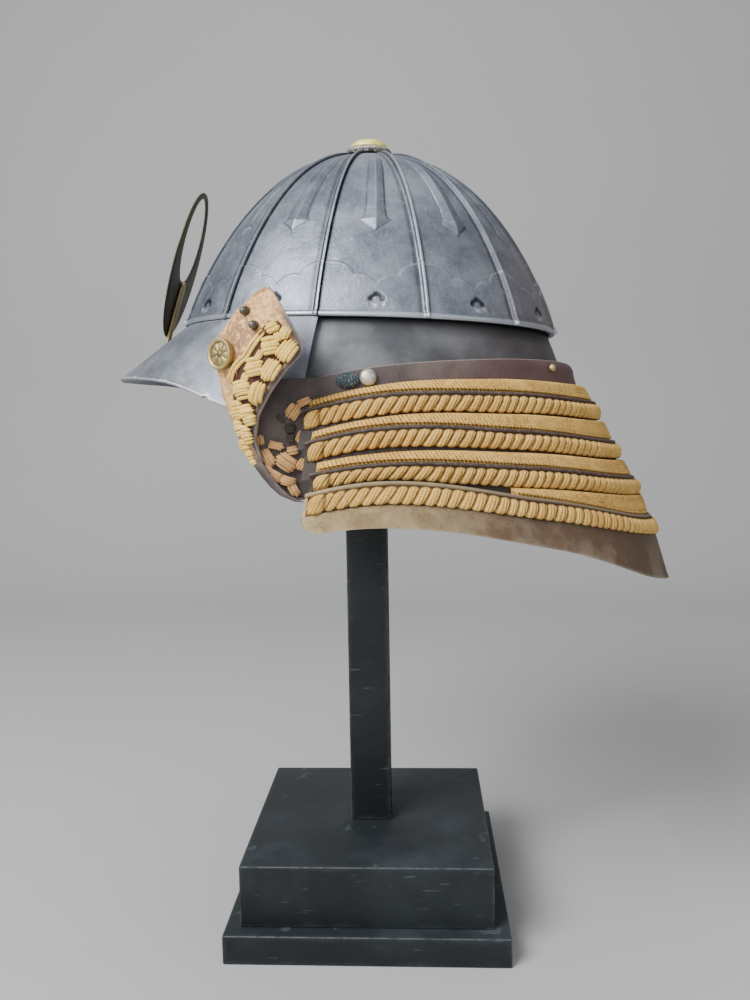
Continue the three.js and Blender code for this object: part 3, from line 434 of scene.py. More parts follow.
def plate_relief(along, width, up):
    """Height in mm of the rib, the arrow, the line and the heart, and two marks from 0 to 1: one for metal
    rubbed bright together with painted highlights on the rib's top, the line, the arrow's ridge and the
    heart's lower rim, and one for painted shade in the grooves by the rib and at the plate's edges, on the
    rib's flanks, along the arrow's outline and one of its facets, and at the heart."""
    across = along - width / 2
    fit = np.minimum(1, width / 14)
    rib = rib_height * fit * ease(along, 0.05, 0.5) * (1 - ease(along, rib_width * 0.5, rib_width * 1.35))
    half = np.interp(up, arrow_up, arrow_half) * np.minimum(1, width / 9)
    inside = half - np.abs(across + 0.5)
    solid = ease(inside, -0.3, 0.45) * (up > 49.6) * (1 - ease(up, 104, 124))
    arrow = solid * (0.55 + 0.2 * np.maximum(inside, 0))
    line_at = np.interp(np.abs(across + 1), line_across, line_up)
    gap = up - line_at
    bead = np.exp(-(gap / 0.42) ** 2)
    step = 0.28 * ease(gap, 0.9, -0.9) * ease(up, 0.5, 4)
    x = (across + 1.3) / 3.7
    y = (7.6 - up) / 3.5
    heart = (x * x + y * y - 1) ** 3 - x * x * y ** 3
    pit = ease(heart, 0.10, -0.12)
    cut = np.exp(-(heart / 0.35) ** 2) * (np.abs(x) < 1.5) * (np.abs(y) < 1.6)
    lower = ease(y, -0.1, 0.7)
    lip = cut * lower
    height = rib + arrow + 0.22 * bead + step - 0.45 * pit - 0.5 * cut * (1 - lower) + 0.3 * lip
    ridge = np.exp(-((across + 0.5) / 0.55) ** 2) * solid
    # Painted highlights, together with rubbed metal: the rib's top, the line's bead, the arrow's ridge and
    # the heart's lower rim.
    polish = 0.5 * ease(rib, 1.5, 1.88) + 0.45 * bead + 0.25 * ridge + 0.7 * lip
    # Painted shade: the grooves by the rib and at the plate's edges, the rib's flanks, the arrow's outline
    # and one of its facets, and the heart's pit and upper border.
    gutter = np.exp(-((along - rib_width * 1.9) / 1.1) ** 2) * 0.6 + np.exp(-(along / 0.3) ** 2)
    gutter = gutter + np.exp(-((width - along) / 0.9) ** 2)
    edge = np.exp(-((inside + 0.35) / 0.4) ** 2) * (up > 49.6) * (1 - ease(up, 70, 110))
    facet = 0.30 * solid * ease(across + 0.5, 0.2, -0.8)
    flank = 0.75 * ease(rib, 0.1, 0.7) * ease(rib, 1.85, 1.2)
    grime = gutter + flank + 0.12 * pit + 1.1 * cut * (1 - lower) + 0.6 * edge + facet
    return height, np.clip(polish, 0, 1), np.clip(grime, 0, 1)


def bowl_iron(place):
    """Blue-grey iron: cloudy patina, fine streaks of the polishing, bright places of rubbed metal and
    painted highlight, and dark places of painted shade.
    """
    polish, grime = place.mark("polish"), place.mark("grime")
    cloud = 0.6 * place.noise(26, 6, 0.68) + 0.4 * place.noise(85, 4, 0.7)
    speck = place.noise(900, 3, 0.6)
    streak = place.stretch(420, 420, 26).noise(1.0, 3, 0.6)
    rear = place.axis(0).rise(0.055, 0.125) * place.axis(2).rise(0.47, 0.40)
    base = cloud.rise(0.34, 0.66).blend((0.120, 0.138, 0.178), (0.280, 0.310, 0.365))
    warm = (rear * 0.8).blend(base, (0.235, 0.180, 0.192))
    grain = (speck.rise(0.42, 0.75) * 0.35).blend(warm, (0.36, 0.38, 0.42))
    # Painted shade goes near black where the darkening mark is high; rubbed metal and painted highlights go
    # pale where the brightening mark is high.
    dark = (grime * 0.92).blend(grain, (0.010, 0.011, 0.014))
    fleck = (speck.rise(0.66, 0.74) * cloud.rise(0.45, 0.65) * 0.6).most(streak.rise(0.60, 0.72) * 0.3)
    bright = (polish * 0.75).most(fleck).blend(dark, (0.52, 0.56, 0.60))
    return {
        "Base Color": bright,
        "Metallic": 0.72,
        "Roughness": 0.34 + 0.18 * cloud + 0.10 * speck - 0.06 * polish,
        "Normal": (0.7 * streak + speck + 4.0 * place.noise(70, 3)).bump(0.00020, 0.6),
    }


bowl_finish = material("bowl_iron", bowl_iron)
plate_columns = 97
low = len(lip_heights)
rises = np.concatenate([np.zeros(low), plate_rises])
arcs = np.concatenate([lip_heights, plate_arcs])[:, None]
reach = np.zeros((len(rises), 1))
reach[:low, 0] = lip_reach
coarse_rows = np.linspace(0, len(rises) - 1, 15).round().astype(int)
coarse_columns = np.linspace(0, plate_columns - 1, 9).astype(int)
spread = np.maximum(rises, 1e-5)[:, None] + np.linspace(0, 1e-4, len(rises))[:, None]
for index in range(12):
    base, along, width = plate_points(index, plate_columns, rises, lip_heights)
    base[low, :, 2] = bowl_height * rises[low] + 1e-3
    angle = plate_start(index) + along / (width / plate_span)
    normal = surface_normals(bowl_surface(angle, np.repeat(spread, plate_columns, axis=1)))
    normal *= np.sign((normal * (base - [0, 0, 20])).sum(axis=-1, keepdims=True))
    height, polish, grime = plate_relief(along, width, arcs)
    level = normal.copy()
    level[:low] = normal[low]
    level[:low, :, 2] = 0
    level[:low] /= np.linalg.norm(level[:low], axis=-1, keepdims=True)
    outer = base + level * (height + reach)[..., None]
    inner = (base - level * plate_wall)[coarse_rows][:, coarse_columns]
    # The turned-out lip is made bright: rubbed metal and a painted highlight.
    polish = np.maximum(polish, ease(reach, 0.5, 1.5) * np.ones_like(polish) * 0.9)
    points, faces = shell(outer, inner)
    name = f"bowl_plate_{index + 1:02d}"
    # The inner wall takes 0.6 of the darkening mark: painted shade inside the bowl.
    add_piece(name, points, faces, bowl_finish, [name], "bowl_iron",
              {"polish": polish, "grime": (grime, 0.6)})


# ---- Crown ring and cap -------------------------------------------------------------------------
# Where the plates meet, a silvered ring like twisted cord on a dark scalloped washer hides their tips,
# and a low gilt cap closes the hole. All three are turned, then chased.
crown_middle = -3.6


def turned(profile, columns, shift=0.0):
    """A profile of (radius, height) pairs in mm, carried round the upright axis."""
    angle = np.linspace(0, 2 * np.pi, columns, endpoint=False)
    radius, height = np.array(profile, dtype=float).T
    radius = radius[:, None]
    return joined(radius * np.cos(angle) + shift, radius * np.sin(angle), height[:, None]), angle


def ring_silver(place):
    # The darkening mark makes the ring darker between its twisted strands and gives the washer its dark
    # tone.
    darkening = place.mark("grime")
    cloud = place.noise(260, 4, 0.65)
    shade = cloud.rise(0.35, 0.7).blend((0.30, 0.29, 0.26), (0.52, 0.51, 0.47))
    return {"Base Color": (darkening * 0.9).blend(shade, (0.025, 0.022, 0.020)), "Metallic": 0.85,
            "Roughness": 0.38 + 0.2 * cloud, "Normal": place.noise(900, 3).bump(0.0001, 0.5)}


loop = np.linspace(0, 2 * np.pi, 20, endpoint=False)
cord_profile = [(13.0 + 0.95 * np.cos(a), 109.1 + 1.35 * np.sin(a)) for a in loop]
ring, around = turned(cord_profile, 300, crown_middle)
strand = np.abs(np.cos(22 * around[None, :] + 0.9 * loop[:, None])) ** 0.7
flat = np.cos(loop)[:, None]
outwards = joined(flat * np.cos(around), flat * np.sin(around), np.sin(loop)[:, None])
ring = ring + outwards * (0.55 * strand - 0.35)[..., None]
ring_faces = quads(21, 300, ring=True) % (20 * 300)
add_piece("crown_ring", ring, [ring_faces], material("ring_silver", ring_silver), ["crown_ring"],
          "silver", {"grime": np.clip(1.1 - 1.6 * strand, 0, 1)})

washer_profile = [(10.5, 105.6), (14.9, 105.6), (15.6, 106.2), (15.2, 107.3), (12.6, 108.1), (10.5, 108.1)]
washer, around = turned(washer_profile, 192, crown_middle)
petal = 0.80 * np.abs(np.cos(8 * around)) ** 0.8 - 0.4
washer[1:4, :, 0] += petal * np.cos(around)
washer[1:4, :, 1] += petal * np.sin(around)
washer_faces = quads(7, 192, ring=True) % (6 * 192)
add_piece("crown_washer", washer, [washer_faces], material("washer_silver", ring_silver), ["crown_ring"],
          "silver", {"grime": np.repeat([1.0, 1.0, 1.0, 0.8, 0.8, 1.0], 192)})


def cap_gilt(place):
    cloud = place.noise(240, 4, 0.6)
    worn = place.noise(90, 5, 0.7).rise(0.48, 0.66)
    shade = cloud.rise(0.3, 0.75).blend((0.74, 0.66, 0.13), (0.98, 0.92, 0.30))
    return {"Base Color": (worn * 0.5).blend(shade, (0.80, 0.78, 0.52)), "Metallic": 0.35,
            "Roughness": 0.42 + 0.2 * cloud, "Normal": (cloud + place.noise(1400, 2)).bump(0.0001, 0.5)}


bend = np.linspace(0, np.pi / 2, 14)
cap_profile = [(1e-4, 107.4), (10.8, 107.4), (11.0, 110.8), (11.55, 111.0)]
cap_profile += [(11.7 * np.cos(a) ** 0.9 + 1e-4, 111.4 + 5.5 * np.sin(a)) for a in bend]
cap, around = turned(cap_profile, 72, crown_middle)
add_piece("crown_cap", cap, [quads(*cap.shape[:2], ring=True)], material("cap_gilt", cap_gilt),
          ["crown_cap"], "gilt", crease=50)


# ---- Base band ----------------------------------------------------------------------------------
# An upright band of iron inside the foot of the bowl, flared outwards below, that carries the peak
# and the neck lames.
band_rows = [(4.0, 108.2, 108.2, 89.6, 4.0), (-3.0, 111.3, 111.3, 92.5, -3.0),
             (-34.0, 122.3, 113.4, 98.4, -28.0)]


def band_points(out, columns=240):
    """Rows from the upper to the lower edge; half length to the rear and to the front, half width, and a
    lower edge that rises towards the rear, with straight lines between the rows."""
    angle = np.linspace(0, 2 * np.pi, columns, endpoint=False)
    down = np.array([0, 0.5, 1, 1.15, 1.3, 1.45, 1.6, 1.75, 1.9, 1.96, 2.0])
    side_z, rear, front, side, rear_z = (np.interp(down, [0, 1, 2], column) for column in zip(*band_rows))
    length = np.where(np.cos(angle) > 0, rear[:, None], front[:, None])
    rearward = np.maximum(0, np.cos(angle))
    height = side_z[:, None] + (rear_z - side_z)[:, None] * rearward
    return joined((length + out) * np.cos(angle), -(side[:, None] + out) * np.sin(angle), height)


def closed_hoop(outer, inner):
    """A wall that runs all round: the outer grid, the inner one turned over, and back to the start."""
    loops = np.concatenate([outer, inner[::-1]])
    rows, columns = loops.shape[:2]
    faces = quads(rows + 1, columns, ring=True) % (rows * columns)
    return loops, [faces]


def iron_paint(place):
    """Dark grey iron, dull, with a painted black shadow under the bowl's lip, and a maroon tinge to the
    rear.
    """
    soot = place.mark("soot")
    cloud = place.noise(30, 5, 0.62)
    speck = place.noise(1000, 3, 0.6)
    base = cloud.rise(0.32, 0.68).blend((0.070, 0.074, 0.082), (0.165, 0.172, 0.185))
    warm = (place.axis(0).rise(0.02, 0.12) * 0.7).blend(base, (0.075, 0.050, 0.050))
    return {
        "Base Color": (soot * 0.95).blend((speck.rise(0.55, 0.75) * 0.3).blend(warm, (0.20, 0.20, 0.21)),
                                          (0.006, 0.006, 0.007)),
        "Metallic": 0.45,
        "Roughness": 0.46 + 0.16 * cloud,
        "Normal": (speck + place.stretch(60, 60, 500).noise(1.0, 3)).bump(0.0001, 0.5),
    }


band, band_faces = closed_hoop(band_points(0.0), band_points(-1.6))
# Painted shadow: the band turns black from 9 mm below the rim upwards, under the bowl's lip.
add_piece("base_band", band, band_faces, material("band_iron", iron_paint), ["base_band"], "band_iron",
          {"soot": ease(band[..., 2], -9.0, -5.5)})


# ---- Peak ---------------------------------------------------------------------------------------
# One curved iron sheet riveted to the front of the band. It dips towards both ends, its free edge is
# thickened, and the lacquer has chipped off along it.
peak_half = np.radians(74.9)
peak_inner, peak_outer, peak_top = 114.5, 156.0, -2.4
peak_widths = [96.5, 99.2, 101.0, 102.2]
peak_edge_z = [-35.4, -35.3, -36.0, -39.6, -51.5, -58.0]


def smooth(values, step, angle):
    """Smooth curve through values given at equal steps from 0, the same on both sides and level at 0."""
    values = np.array([values[1], *values, 2 * values[-1] - values[-2]])
    along = np.abs(angle) / step
    place = np.clip(np.floor(along).astype(int), 0, len(values) - 4)
    t = along - place
    before, first, second, after = (values[place + k] for k in range(4))
    start, stop = (second - before) / 2, (after - first) / 2
    cube, square = 2 * first - 2 * second + start + stop, 3 * second - 3 * first - 2 * start - stop
    return ((cube * t + square) * t + start) * t + first


def peak_points(u, v):
    """u runs from under the bowl out to the free edge, v from the left end to the right one: half ellipses
    that grow outwards, at a height that falls in a straight line to the edge's own smooth curve."""
    angle = peak_half * (1 - 2 * v)
    length = peak_inner + (peak_outer - peak_inner) * u
    width = np.interp(u * 3, [0, 1, 2, 3], peak_widths)
    height = peak_top + (smooth(peak_edge_z, np.radians(15), angle) - peak_top) * u
    return np.stack([-length * np.cos(angle), -width * np.sin(angle), height], axis=-1)


def chipped(v):
    """Depth of the chips along the edge from 0 to 1: peaks of several waves that don't repeat."""
    wave = np.sin(61 * v) + np.sin(143 * v + 1) + 0.7 * np.sin(317 * v + 2) + 0.5 * np.sin(601 * v)
    near_end = ease(np.abs(v - 0.5), 0.30, 0.47)
    return ease(wave, 1.6 - 1.2 * near_end, 2.6 - 1.2 * near_end)


swing = np.cos(np.pi * np.linspace(0, 1, 421))
peak_v = 0.5 - 0.5 * swing * (0.72 + 0.28 * swing ** 2)
peak_v = (peak_v - peak_v[0]) / (peak_v[-1] - peak_v[0])
peak_u = np.concatenate([np.linspace(0, 0.93, 28), [0.95, 0.965, 0.975, 0.985, 0.992, 0.997, 1.0]])
edge_reach = 1 - 0.028 * chipped(peak_v)
grid_u = peak_u[:, None] * (1 - (1 - edge_reach) * peak_u[:, None] ** 12)
grid_v = np.repeat(peak_v[None, :], len(peak_u), axis=0)
flat = peak_points(grid_u, grid_v)
lift = surface_normals(flat)
lift *= np.sign(lift[..., 2:])
bead = 0.5 * ease(peak_u, 0.945, 0.975)[:, None] - 0.3 * ease(peak_u, 0.99, 1.0)[:, None]
wave = 0.12 * np.sin(grid_v * 37 + grid_u * 9) * np.sin(grid_v * 83 + 2)
peak_face = flat + lift * (bead + wave)[..., None]
peak_back = flat - lift * 1.6
points, faces = shell(peak_face, peak_back)
wear = np.clip(ease(peak_u, 0.93, 0.985)[:, None] * (0.5 + 0.9 * chipped(peak_v)), 0, 1)


def peak_iron(place):
    """Blue-grey iron as on the bowl, with bare pale metal along the edge and brown rust stains."""
    wear = place.mark("polish")
    cloud = place.noise(26, 5, 0.6)
    speck = place.noise(800, 3, 0.6)
    stain = place.noise(55, 4, 0.7).rise(0.55, 0.72)
    base = cloud.rise(0.32, 0.68).blend((0.135, 0.152, 0.185), (0.300, 0.325, 0.370))
    rust = (stain * 0.5).blend(base, (0.10, 0.070, 0.052))
    grain = (speck.rise(0.45, 0.75) * 0.3).blend(rust, (0.34, 0.36, 0.40))
    bare = (wear + 0.5 * speck - 0.25).rise(0.25, 0.75)
    return {
        "Base Color": (bare * 0.9).blend(grain, (0.62, 0.63, 0.62)),
        "Metallic": 0.6,
        "Roughness": 0.42 + 0.16 * cloud + 0.1 * speck,
        "Normal": (speck + 2 * place.noise(70, 3)).bump(0.00015, 0.5),
    }


add_piece("peak", points, faces, material("peak_iron", peak_iron), ["peak"], "peak_iron",
          {"polish": np.stack([wear, 0.3 * wear])})


# ---- Top lame -----------------------------------------------------------------------------------
# A lacquered leather-covered plate with a rounded shoulder goes round the neck. Its ends run forwards
# past the lower lames, fold outwards, and turn back as two pointed wings.
lame_wall, lace_reach, overlap, face_lean = 1.8, 4.2, 3.0, 0.2
rims = [
    (121.3, 103.0, 105.0, [-18.8, -19.8, -22.4, -28.9, -42.8]),
    (142.3, 113.0, 105.0, [-42.6, -41.9, -40.1, -43.5, -62.8]),
    (155.1, 122.5, 102.8, [-65.9, -64.5, -59.8, -60.3, -82.8]),
    (167.5, 132.0, 100.7, [-87.5, -85.1, -78.8, -78.1, -97.8]),
    (178.3, 140.0, 100.6, [-110.5, -107.2, -94.9, -86.7, -112.8]),
    (191.4, 149.0, 99.9, [-149.5, -142.8, -120.0, -108.4, -131.0]),
]
braid_top, braid_height = 2.0, 8.4
lame_columns, hem_columns = 301, 361


def rim_height(index, angle):
    return smooth(rims[index][3], np.radians(30), angle)


def rim_point(index, angle, out, drop):
    """A half ellipse seen from above, at the rim's own height; out is outwards, drop is downwards."""
    length, width = rims[index][:2]
    x = (length + out) * np.cos(angle)
    y = -(width + out) * np.sin(angle)
    return joined(x, y, rim_height(index, angle) - drop)


def lower_point(index, angle, out):
    """The lower border of a lame, behind the rim of the next one with room for the cords."""
    return rim_point(index + 1, angle, out - lame_wall - lace_reach, overlap)


def down_rows(rows, drop):
    """The point that lies drop below the first row, on straight lines between rows of falling height."""
    height = rows[0][..., 2] - drop
    spot = np.array(np.broadcast_arrays(rows[0], height[..., None] * np.ones(3))[0])
    for k, (upper, lower) in enumerate(zip(rows, rows[1:])):
        share = np.maximum((upper[..., 2] - height) / (upper[..., 2] - lower[..., 2]), 0)
        if k < len(rows) - 2:
            share = np.minimum(share, 1)
        spot = spot + share[..., None] * (lower - upper)
    return spot


top_shape = [(0.0, 0.0, 0.0), (3.6, 0.7, 1.2), (6.2, 1.4, 4.4), (8.0, 2.2, 11.0)]


def top_rows(angle, out):
    """Rows of the top lame's face: a shoulder, a steep wall, then the hidden lower border."""
    length, width = rims[0][:2]
    rows = []
    for more_length, more_width, drop in top_shape:
        x = (length + more_length + out) * np.cos(angle)
        y = -(width + more_width + out) * np.sin(angle)
        rows.append(joined(x, y, rim_height(0, angle) - drop))
    return rows + [lower_point(0, angle, out)]


def face_surface(index):
    """Returns the function (angle, drop, out) of one lame's outer face."""
    def surface(angle, drop, out):
        if index == 0:
            return down_rows(top_rows(angle, out), drop)
        if index == 4:
            top, foot = rim_point(4, angle, out, 0), rim_point(5, angle, out, 0)
            return top + (drop / (top[..., 2] - foot[..., 2]))[..., None] * (foot - top)
        rows = [rim_point(index, angle, out, 0), rim_point(index, angle, out + face_lean, braid_height)]
        return down_rows(rows + [lower_point(index, angle, out)], drop)
    return surface


def curve_through(rows, steps):
    """Extra rows between given ones, on a smooth curve through them (Catmull-Rom)."""
    rows = [2 * rows[0] - rows[1], *rows, 2 * rows[-1] - rows[-2]]
    made = []
    for a, b, c, d in zip(rows, rows[1:], rows[2:], rows[3:]):
        for t in np.arange(steps) / steps:
            square, cube = 2 * a - 5 * b + 4 * c - d, 3 * (b - c) + d - a
            made.append(b + 0.5 * t * (c - a + t * (square + t * cube)))
    return np.stack(made + [rows[-2]])


def leather(place):
    """Leather under thin gold paint, worn to a pink-brown ground and bare purple-grey at the margin, with a
    painted highlight along the top lame's rim and the wings' rounded edges.
    """
    gold, bare, edge = place.mark("gold"), place.mark("bare"), place.mark("polish")
    cloud = place.noise(32, 5, 0.65)
    fleck = place.noise(420, 4, 0.7)
    ground = cloud.rise(0.3, 0.7).blend((0.050, 0.036, 0.034), (0.130, 0.098, 0.090))
    rear = (place.axis(0).rise(0.02, 0.13) * 0.75).blend(ground, (0.100, 0.042, 0.040))
    tan = (cloud + 0.4 * fleck).rise(0.5, 0.85).blend((0.26, 0.115, 0.055), (0.62, 0.34, 0.15))
    gilded = ((fleck + 0.35 * cloud).rise(0.62, 0.82) * 0.85).blend(tan, (0.95, 0.64, 0.20))
    painted = gold.blend(rear, gilded)
    margin = bare.blend(painted, (0.120, 0.090, 0.092))
    # Painted highlight: lighter along the top lame's rim and the wings' rounded edges.
    lit = (edge * 0.75).blend(margin, (0.50, 0.42, 0.33))
    return {
        "Base Color": (fleck.rise(0.66, 0.78) * 0.3).blend(lit, (0.36, 0.30, 0.25)),
        "Roughness": 0.46 + 0.16 * cloud + 0.1 * fleck,
        "Specular IOR Level": 0.42,
        "Normal": (fleck + 0.8 * place.noise(1300, 2)).bump(0.00035, 0.8),
    }


leather_finish = material("top_leather", leather)


def end_spaced(end, count, closer=0.6):
    """Angles from -end to end degrees, spaced more closely near both ends."""
    t = np.linspace(-1, 1, count)
    return np.radians(end) * (t * (1 - closer) + closer * np.sin(t * np.pi / 2))


top_angles = end_spaced(rims[0][2], lame_columns)
top_face = curve_through(top_rows(top_angles, 0.0), 6)
top_back = curve_through(top_rows(top_angles, -lame_wall), 6)
top_back[0] += (top_face[0] - top_back[0]) * 0.2
points, faces = shell(top_face, top_back)
rim_light = np.clip(1 - np.arange(len(top_face)) / 2.2, 0, 1)[:, None] * np.ones(lame_columns)
add_piece("top_lame", points, faces, leather_finish, ["top_lame"], "lacquer",
          {"polish": 0.8 * rim_light, "gold": 0, "bare": 0})

leaf_table = np.array([
    (9.3, -57.6, -55.0), (5.5, -62.6, -51.3), (-3, -71.2, -45.6), (-12, -77.6, -39.8), (-20, -81.2, -35.4),
    (-25, -82.0, -36.0), (-33, -80.8, -43.5), (-44, -76.9, -51.4), (-56, -72.5, -58.3), (-68, -67.8, -60.6),
    (-80, -61.5, -57.0)])
leaf_wall = 2.2
wing_spread, wing_narrowing, wing_curl, curl_length = 128.5, 7.5, 19, 14
fold_seam, fold_start, fold_depth = 104, -38, 5
fold_table = np.array([(-37, -79.6), (-46, -76.2), (-56, -72.5), (-68, -67.8), (-78, -62.8), (-86, -57.0),
                       (-92, -51.8), (-96.5, -46.4), (-99.2, -39.4)])


def leaf_point(side, x, z, out):
    """Outer face of a wing: its distance from the middle falls off as an exponential towards the front
    edge, so that it faces forwards there; out is along its normal."""
    front = np.interp(-z, -leaf_table[:, 0], leaf_table[:, 1])
    spread = wing_spread - wing_narrowing * np.clip((-40 - z) / 50, 0, 1)
    fall = np.exp(-(x - front + 2) / curl_length)
    slope = wing_curl * fall / curl_length
    size = np.hypot(1, slope)
    return joined(x - slope / size * out, side * (spread - wing_curl * fall + out / size), z)


def leaf_piece(side):
    """The wing's wall: rows down the leaf, columns from its front to its rear, a soft rounded edge."""
    z = np.concatenate([9.3 - 3.8 * np.linspace(0, 1, 9) ** 1.5, np.linspace(4.7, -80, 110)])
    front = np.interp(-z, -leaf_table[:, 0], leaf_table[:, 1])[:, None]
    rear = np.interp(-z, -leaf_table[:, 0], leaf_table[:, 2])
    kernel = np.array([1, 2, 3, 2, 1]) / 9
    rear = np.convolve(np.pad(rear, 2, mode="edge"), kernel, mode="valid")[:, None]
    t = np.array([0, 0.02, 0.05, *np.linspace(0.1, 0.9, 40), 0.95, 0.98, 1.0])
    x = front + (rear - front) * t
    edge = np.minimum(np.minimum((x - front), (rear - x)), (9.8 - z)[:, None] * 0.7)
    height = -0.55 * (1 - ease(edge, 0.0, 1.0))
    zz = np.repeat(z[:, None], len(t), axis=1)
    face = leaf_point(side, x, zz, height)
    back = leaf_point(side, x, zz, -leaf_wall)
    margin = (1 - ease(rear - x + 0.36 * np.sin(zz * 0.7), 2.6, 3.6)) * ease(zz, 1.0, -8.0)
    # Painted highlight along the wing's rounded edge.
    polish = (1 - ease(edge, 0.1, 0.9)) * 0.7
    return face, back, {"gold": 1 - ease(-zz, 62, 76), "bare": margin, "polish": polish}


def fold_piece(side):
    """The sheet in front of the lames' ends, then the half circle that turns it back into the wing."""
    z = np.linspace(-37, -99.2, 90)
    front = np.interp(-z, -fold_table[:, 0], fold_table[:, 1])
    bend_x = front + fold_depth
    start_x = np.maximum(fold_start, bend_x + 2)
    leaf_y = np.abs(leaf_point(side, bend_x, z, -leaf_wall / 2)[:, 1])
    middle_y, half_y = (fold_seam + leaf_y) / 2, (leaf_y - fold_seam) / 2
    across = np.linspace(0, 1, 10)
    sheet_x = np.concatenate([[np.full_like(z, -28.0)], start_x + (bend_x - start_x) * across[:-1, None]])
    sheet_y = fold_sheet(sheet_x, z)
    sheet_y[0] += 0.4
    turned_by = np.linspace(0, np.pi, 17)[:, None]
    arc_x = bend_x - fold_depth * np.sin(turned_by)
    arc_y = middle_y - half_y * np.cos(turned_by)
    x = np.concatenate([sheet_x, arc_x])
    y = np.concatenate([sheet_y, arc_y])
    nx = np.concatenate([np.zeros_like(sheet_x), -np.sin(turned_by) * np.ones_like(z)])
    ny = np.concatenate([-np.ones_like(sheet_x), -np.cos(turned_by) * np.ones_like(z)])
    half = leaf_wall / 2
    tucked = 1.6 * ease(z, -46, -37) * (np.arange(len(x)) > 9)[:, None]
    raised = 1.7 * ease(z, -40, -37) * ease(x, -70, -30) + 0 * x
    zz = z + raised
    x = x + tucked
    outside, inside = (joined(x + nx * out, side * (y + ny * out), zz) for out in (half, -half))
    return outside, inside, {"gold": ease(ny, -0.55, 0.1) * (1 - ease(-z, 60, 84)), "bare": 0, "polish": 0}


def fold_sheet(x, z):
    """Distance of the fold's floor from the middle plane: it spreads downwards and forwards."""
    depth = np.clip((-36 - z) / 18, 0, 1)
    end_y = 98.7 + 3.0 * depth
    bend_x = np.interp(-z, -fold_table[:, 0], fold_table[:, 1]) + fold_depth
    start_x = np.maximum(fold_start, bend_x + 2)
    share = np.clip((start_x - x) / (start_x - bend_x), 0, 1)
    return end_y + (fold_seam - end_y) * share


for word, side in [("left", -1), ("right", 1)]:
    for name, (face, back, marks) in [("wing", leaf_piece(side)), ("fold", fold_piece(side))]:
        points, faces = shell(face, back)
        add_piece(f"{name}_{word}", points, faces, leather_finish, ["top_lame"], "lacquer", marks)


# ---- Lower lames --------------------------------------------------------------------------------
# Three lacquered lames hang below each other on the cords. Each has a thick rounded rim, and its lower
# border is hidden behind the next one.
def lame_leather(place):
    """Dark brown lacquer, nearly black in the hollows, with a painted highlight along the rim."""
    edge = place.mark("polish")
    cloud = place.noise(40, 5, 0.65)
    fleck = place.noise(500, 4, 0.7)
    base = cloud.rise(0.3, 0.7).blend((0.026, 0.018, 0.015), (0.052, 0.037, 0.030))
    rear = (place.axis(0).rise(0.04, 0.15) * 0.6).blend(base, (0.075, 0.030, 0.028))
    lit = (edge * (0.08 + 0.35 * fleck.rise(0.45, 0.7))).blend(rear, (0.30, 0.24, 0.19))
    return {
        "Base Color": (fleck.rise(0.62, 0.76) * 0.25).blend(lit, (0.22, 0.17, 0.14)),
        "Roughness": 0.46 + 0.18 * cloud + 0.1 * fleck,
        "Specular IOR Level": 0.3,
        "Normal": (fleck + 0.8 * place.noise(1300, 2)).bump(0.00015, 0.5),
    }


lame_finish = material("lame_lacquer", lame_leather)
rim_shape = [(-0.9, -0.15), (-0.3, -0.05), (0.2, 0.25), (0.5, 0.8), (0.5, 1.4), (0.25, 1.95), (0.02, 2.3)]
back_drops = [0.15, 0.5, 0.9, 1.3, 1.7, 2.0, 2.4]
for index in range(1, 4):
    angles = end_spaced(rims[index][2], lame_columns)
    surface = face_surface(index)
    fall = rim_height(index, angles) - rim_height(index + 1, angles) + overlap
    drops = [np.full_like(angles, d) for d in (4, 6, braid_height)]
    drops += [braid_height + (fall - braid_height) * t for t in (0.33, 0.66, 1)]
    outer = [rim_point(index, angles, out, drop) for out, drop in rim_shape]
    outer += [surface(angles, d, 0.0) for d in drops]
    inner = [surface(angles, d, -lame_wall) for d in [np.full_like(angles, d) for d in back_drops] + drops]
    points, faces = shell(np.stack(outer), np.stack(inner))
    light = np.array([0.3, 0.8, 1.0, 0.8, 0.3, 0, 0] + [0] * 6)[:, None] * np.ones(lame_columns)
    add_piece(f"lame_{index}", points, faces, lame_finish, [f"lame_{index}"], "lacquer",
              {"polish": light})


# ---- Hem lame -----------------------------------------------------------------------------------
# The lowest lame is deeper and carries a plain hem of worn tan leather with rounded front corners, browner
# towards the rear, with a pale rubbed line along its lower edge and a painted highlight along its rim.
hem_corner = 9.0


def hem_leather(place):
    edge, low = place.mark("polish"), place.mark("low")
    cloud = place.noise(30, 5, 0.7)
    fleck = place.noise(700, 4, 0.7)
    streak = place.stretch(30, 30, 160).noise(1.0, 4, 0.6)
    tan = cloud.rise(0.3, 0.7).blend((0.200, 0.140, 0.058), (0.440, 0.320, 0.150))
    rear = (place.axis(0).rise(-0.02, 0.10) * 0.9).blend(tan, (0.090, 0.052, 0.036))
    dark = ((fleck + 0.5 * streak).rise(0.70, 0.95) * 0.5).blend(rear, (0.075, 0.052, 0.036))
    foot = (low * 0.45 * cloud.rise(0.4, 0.6)).blend(dark, (0.36, 0.31, 0.22))
    return {
        "Base Color": (edge * 0.45).blend(foot, (0.42, 0.35, 0.24)),
        "Roughness": 0.55 + 0.16 * cloud + 0.1 * fleck,
        "Specular IOR Level": 0.35,
        "Normal": (fleck + place.noise(1500, 2)).bump(0.0002, 0.6),
    }


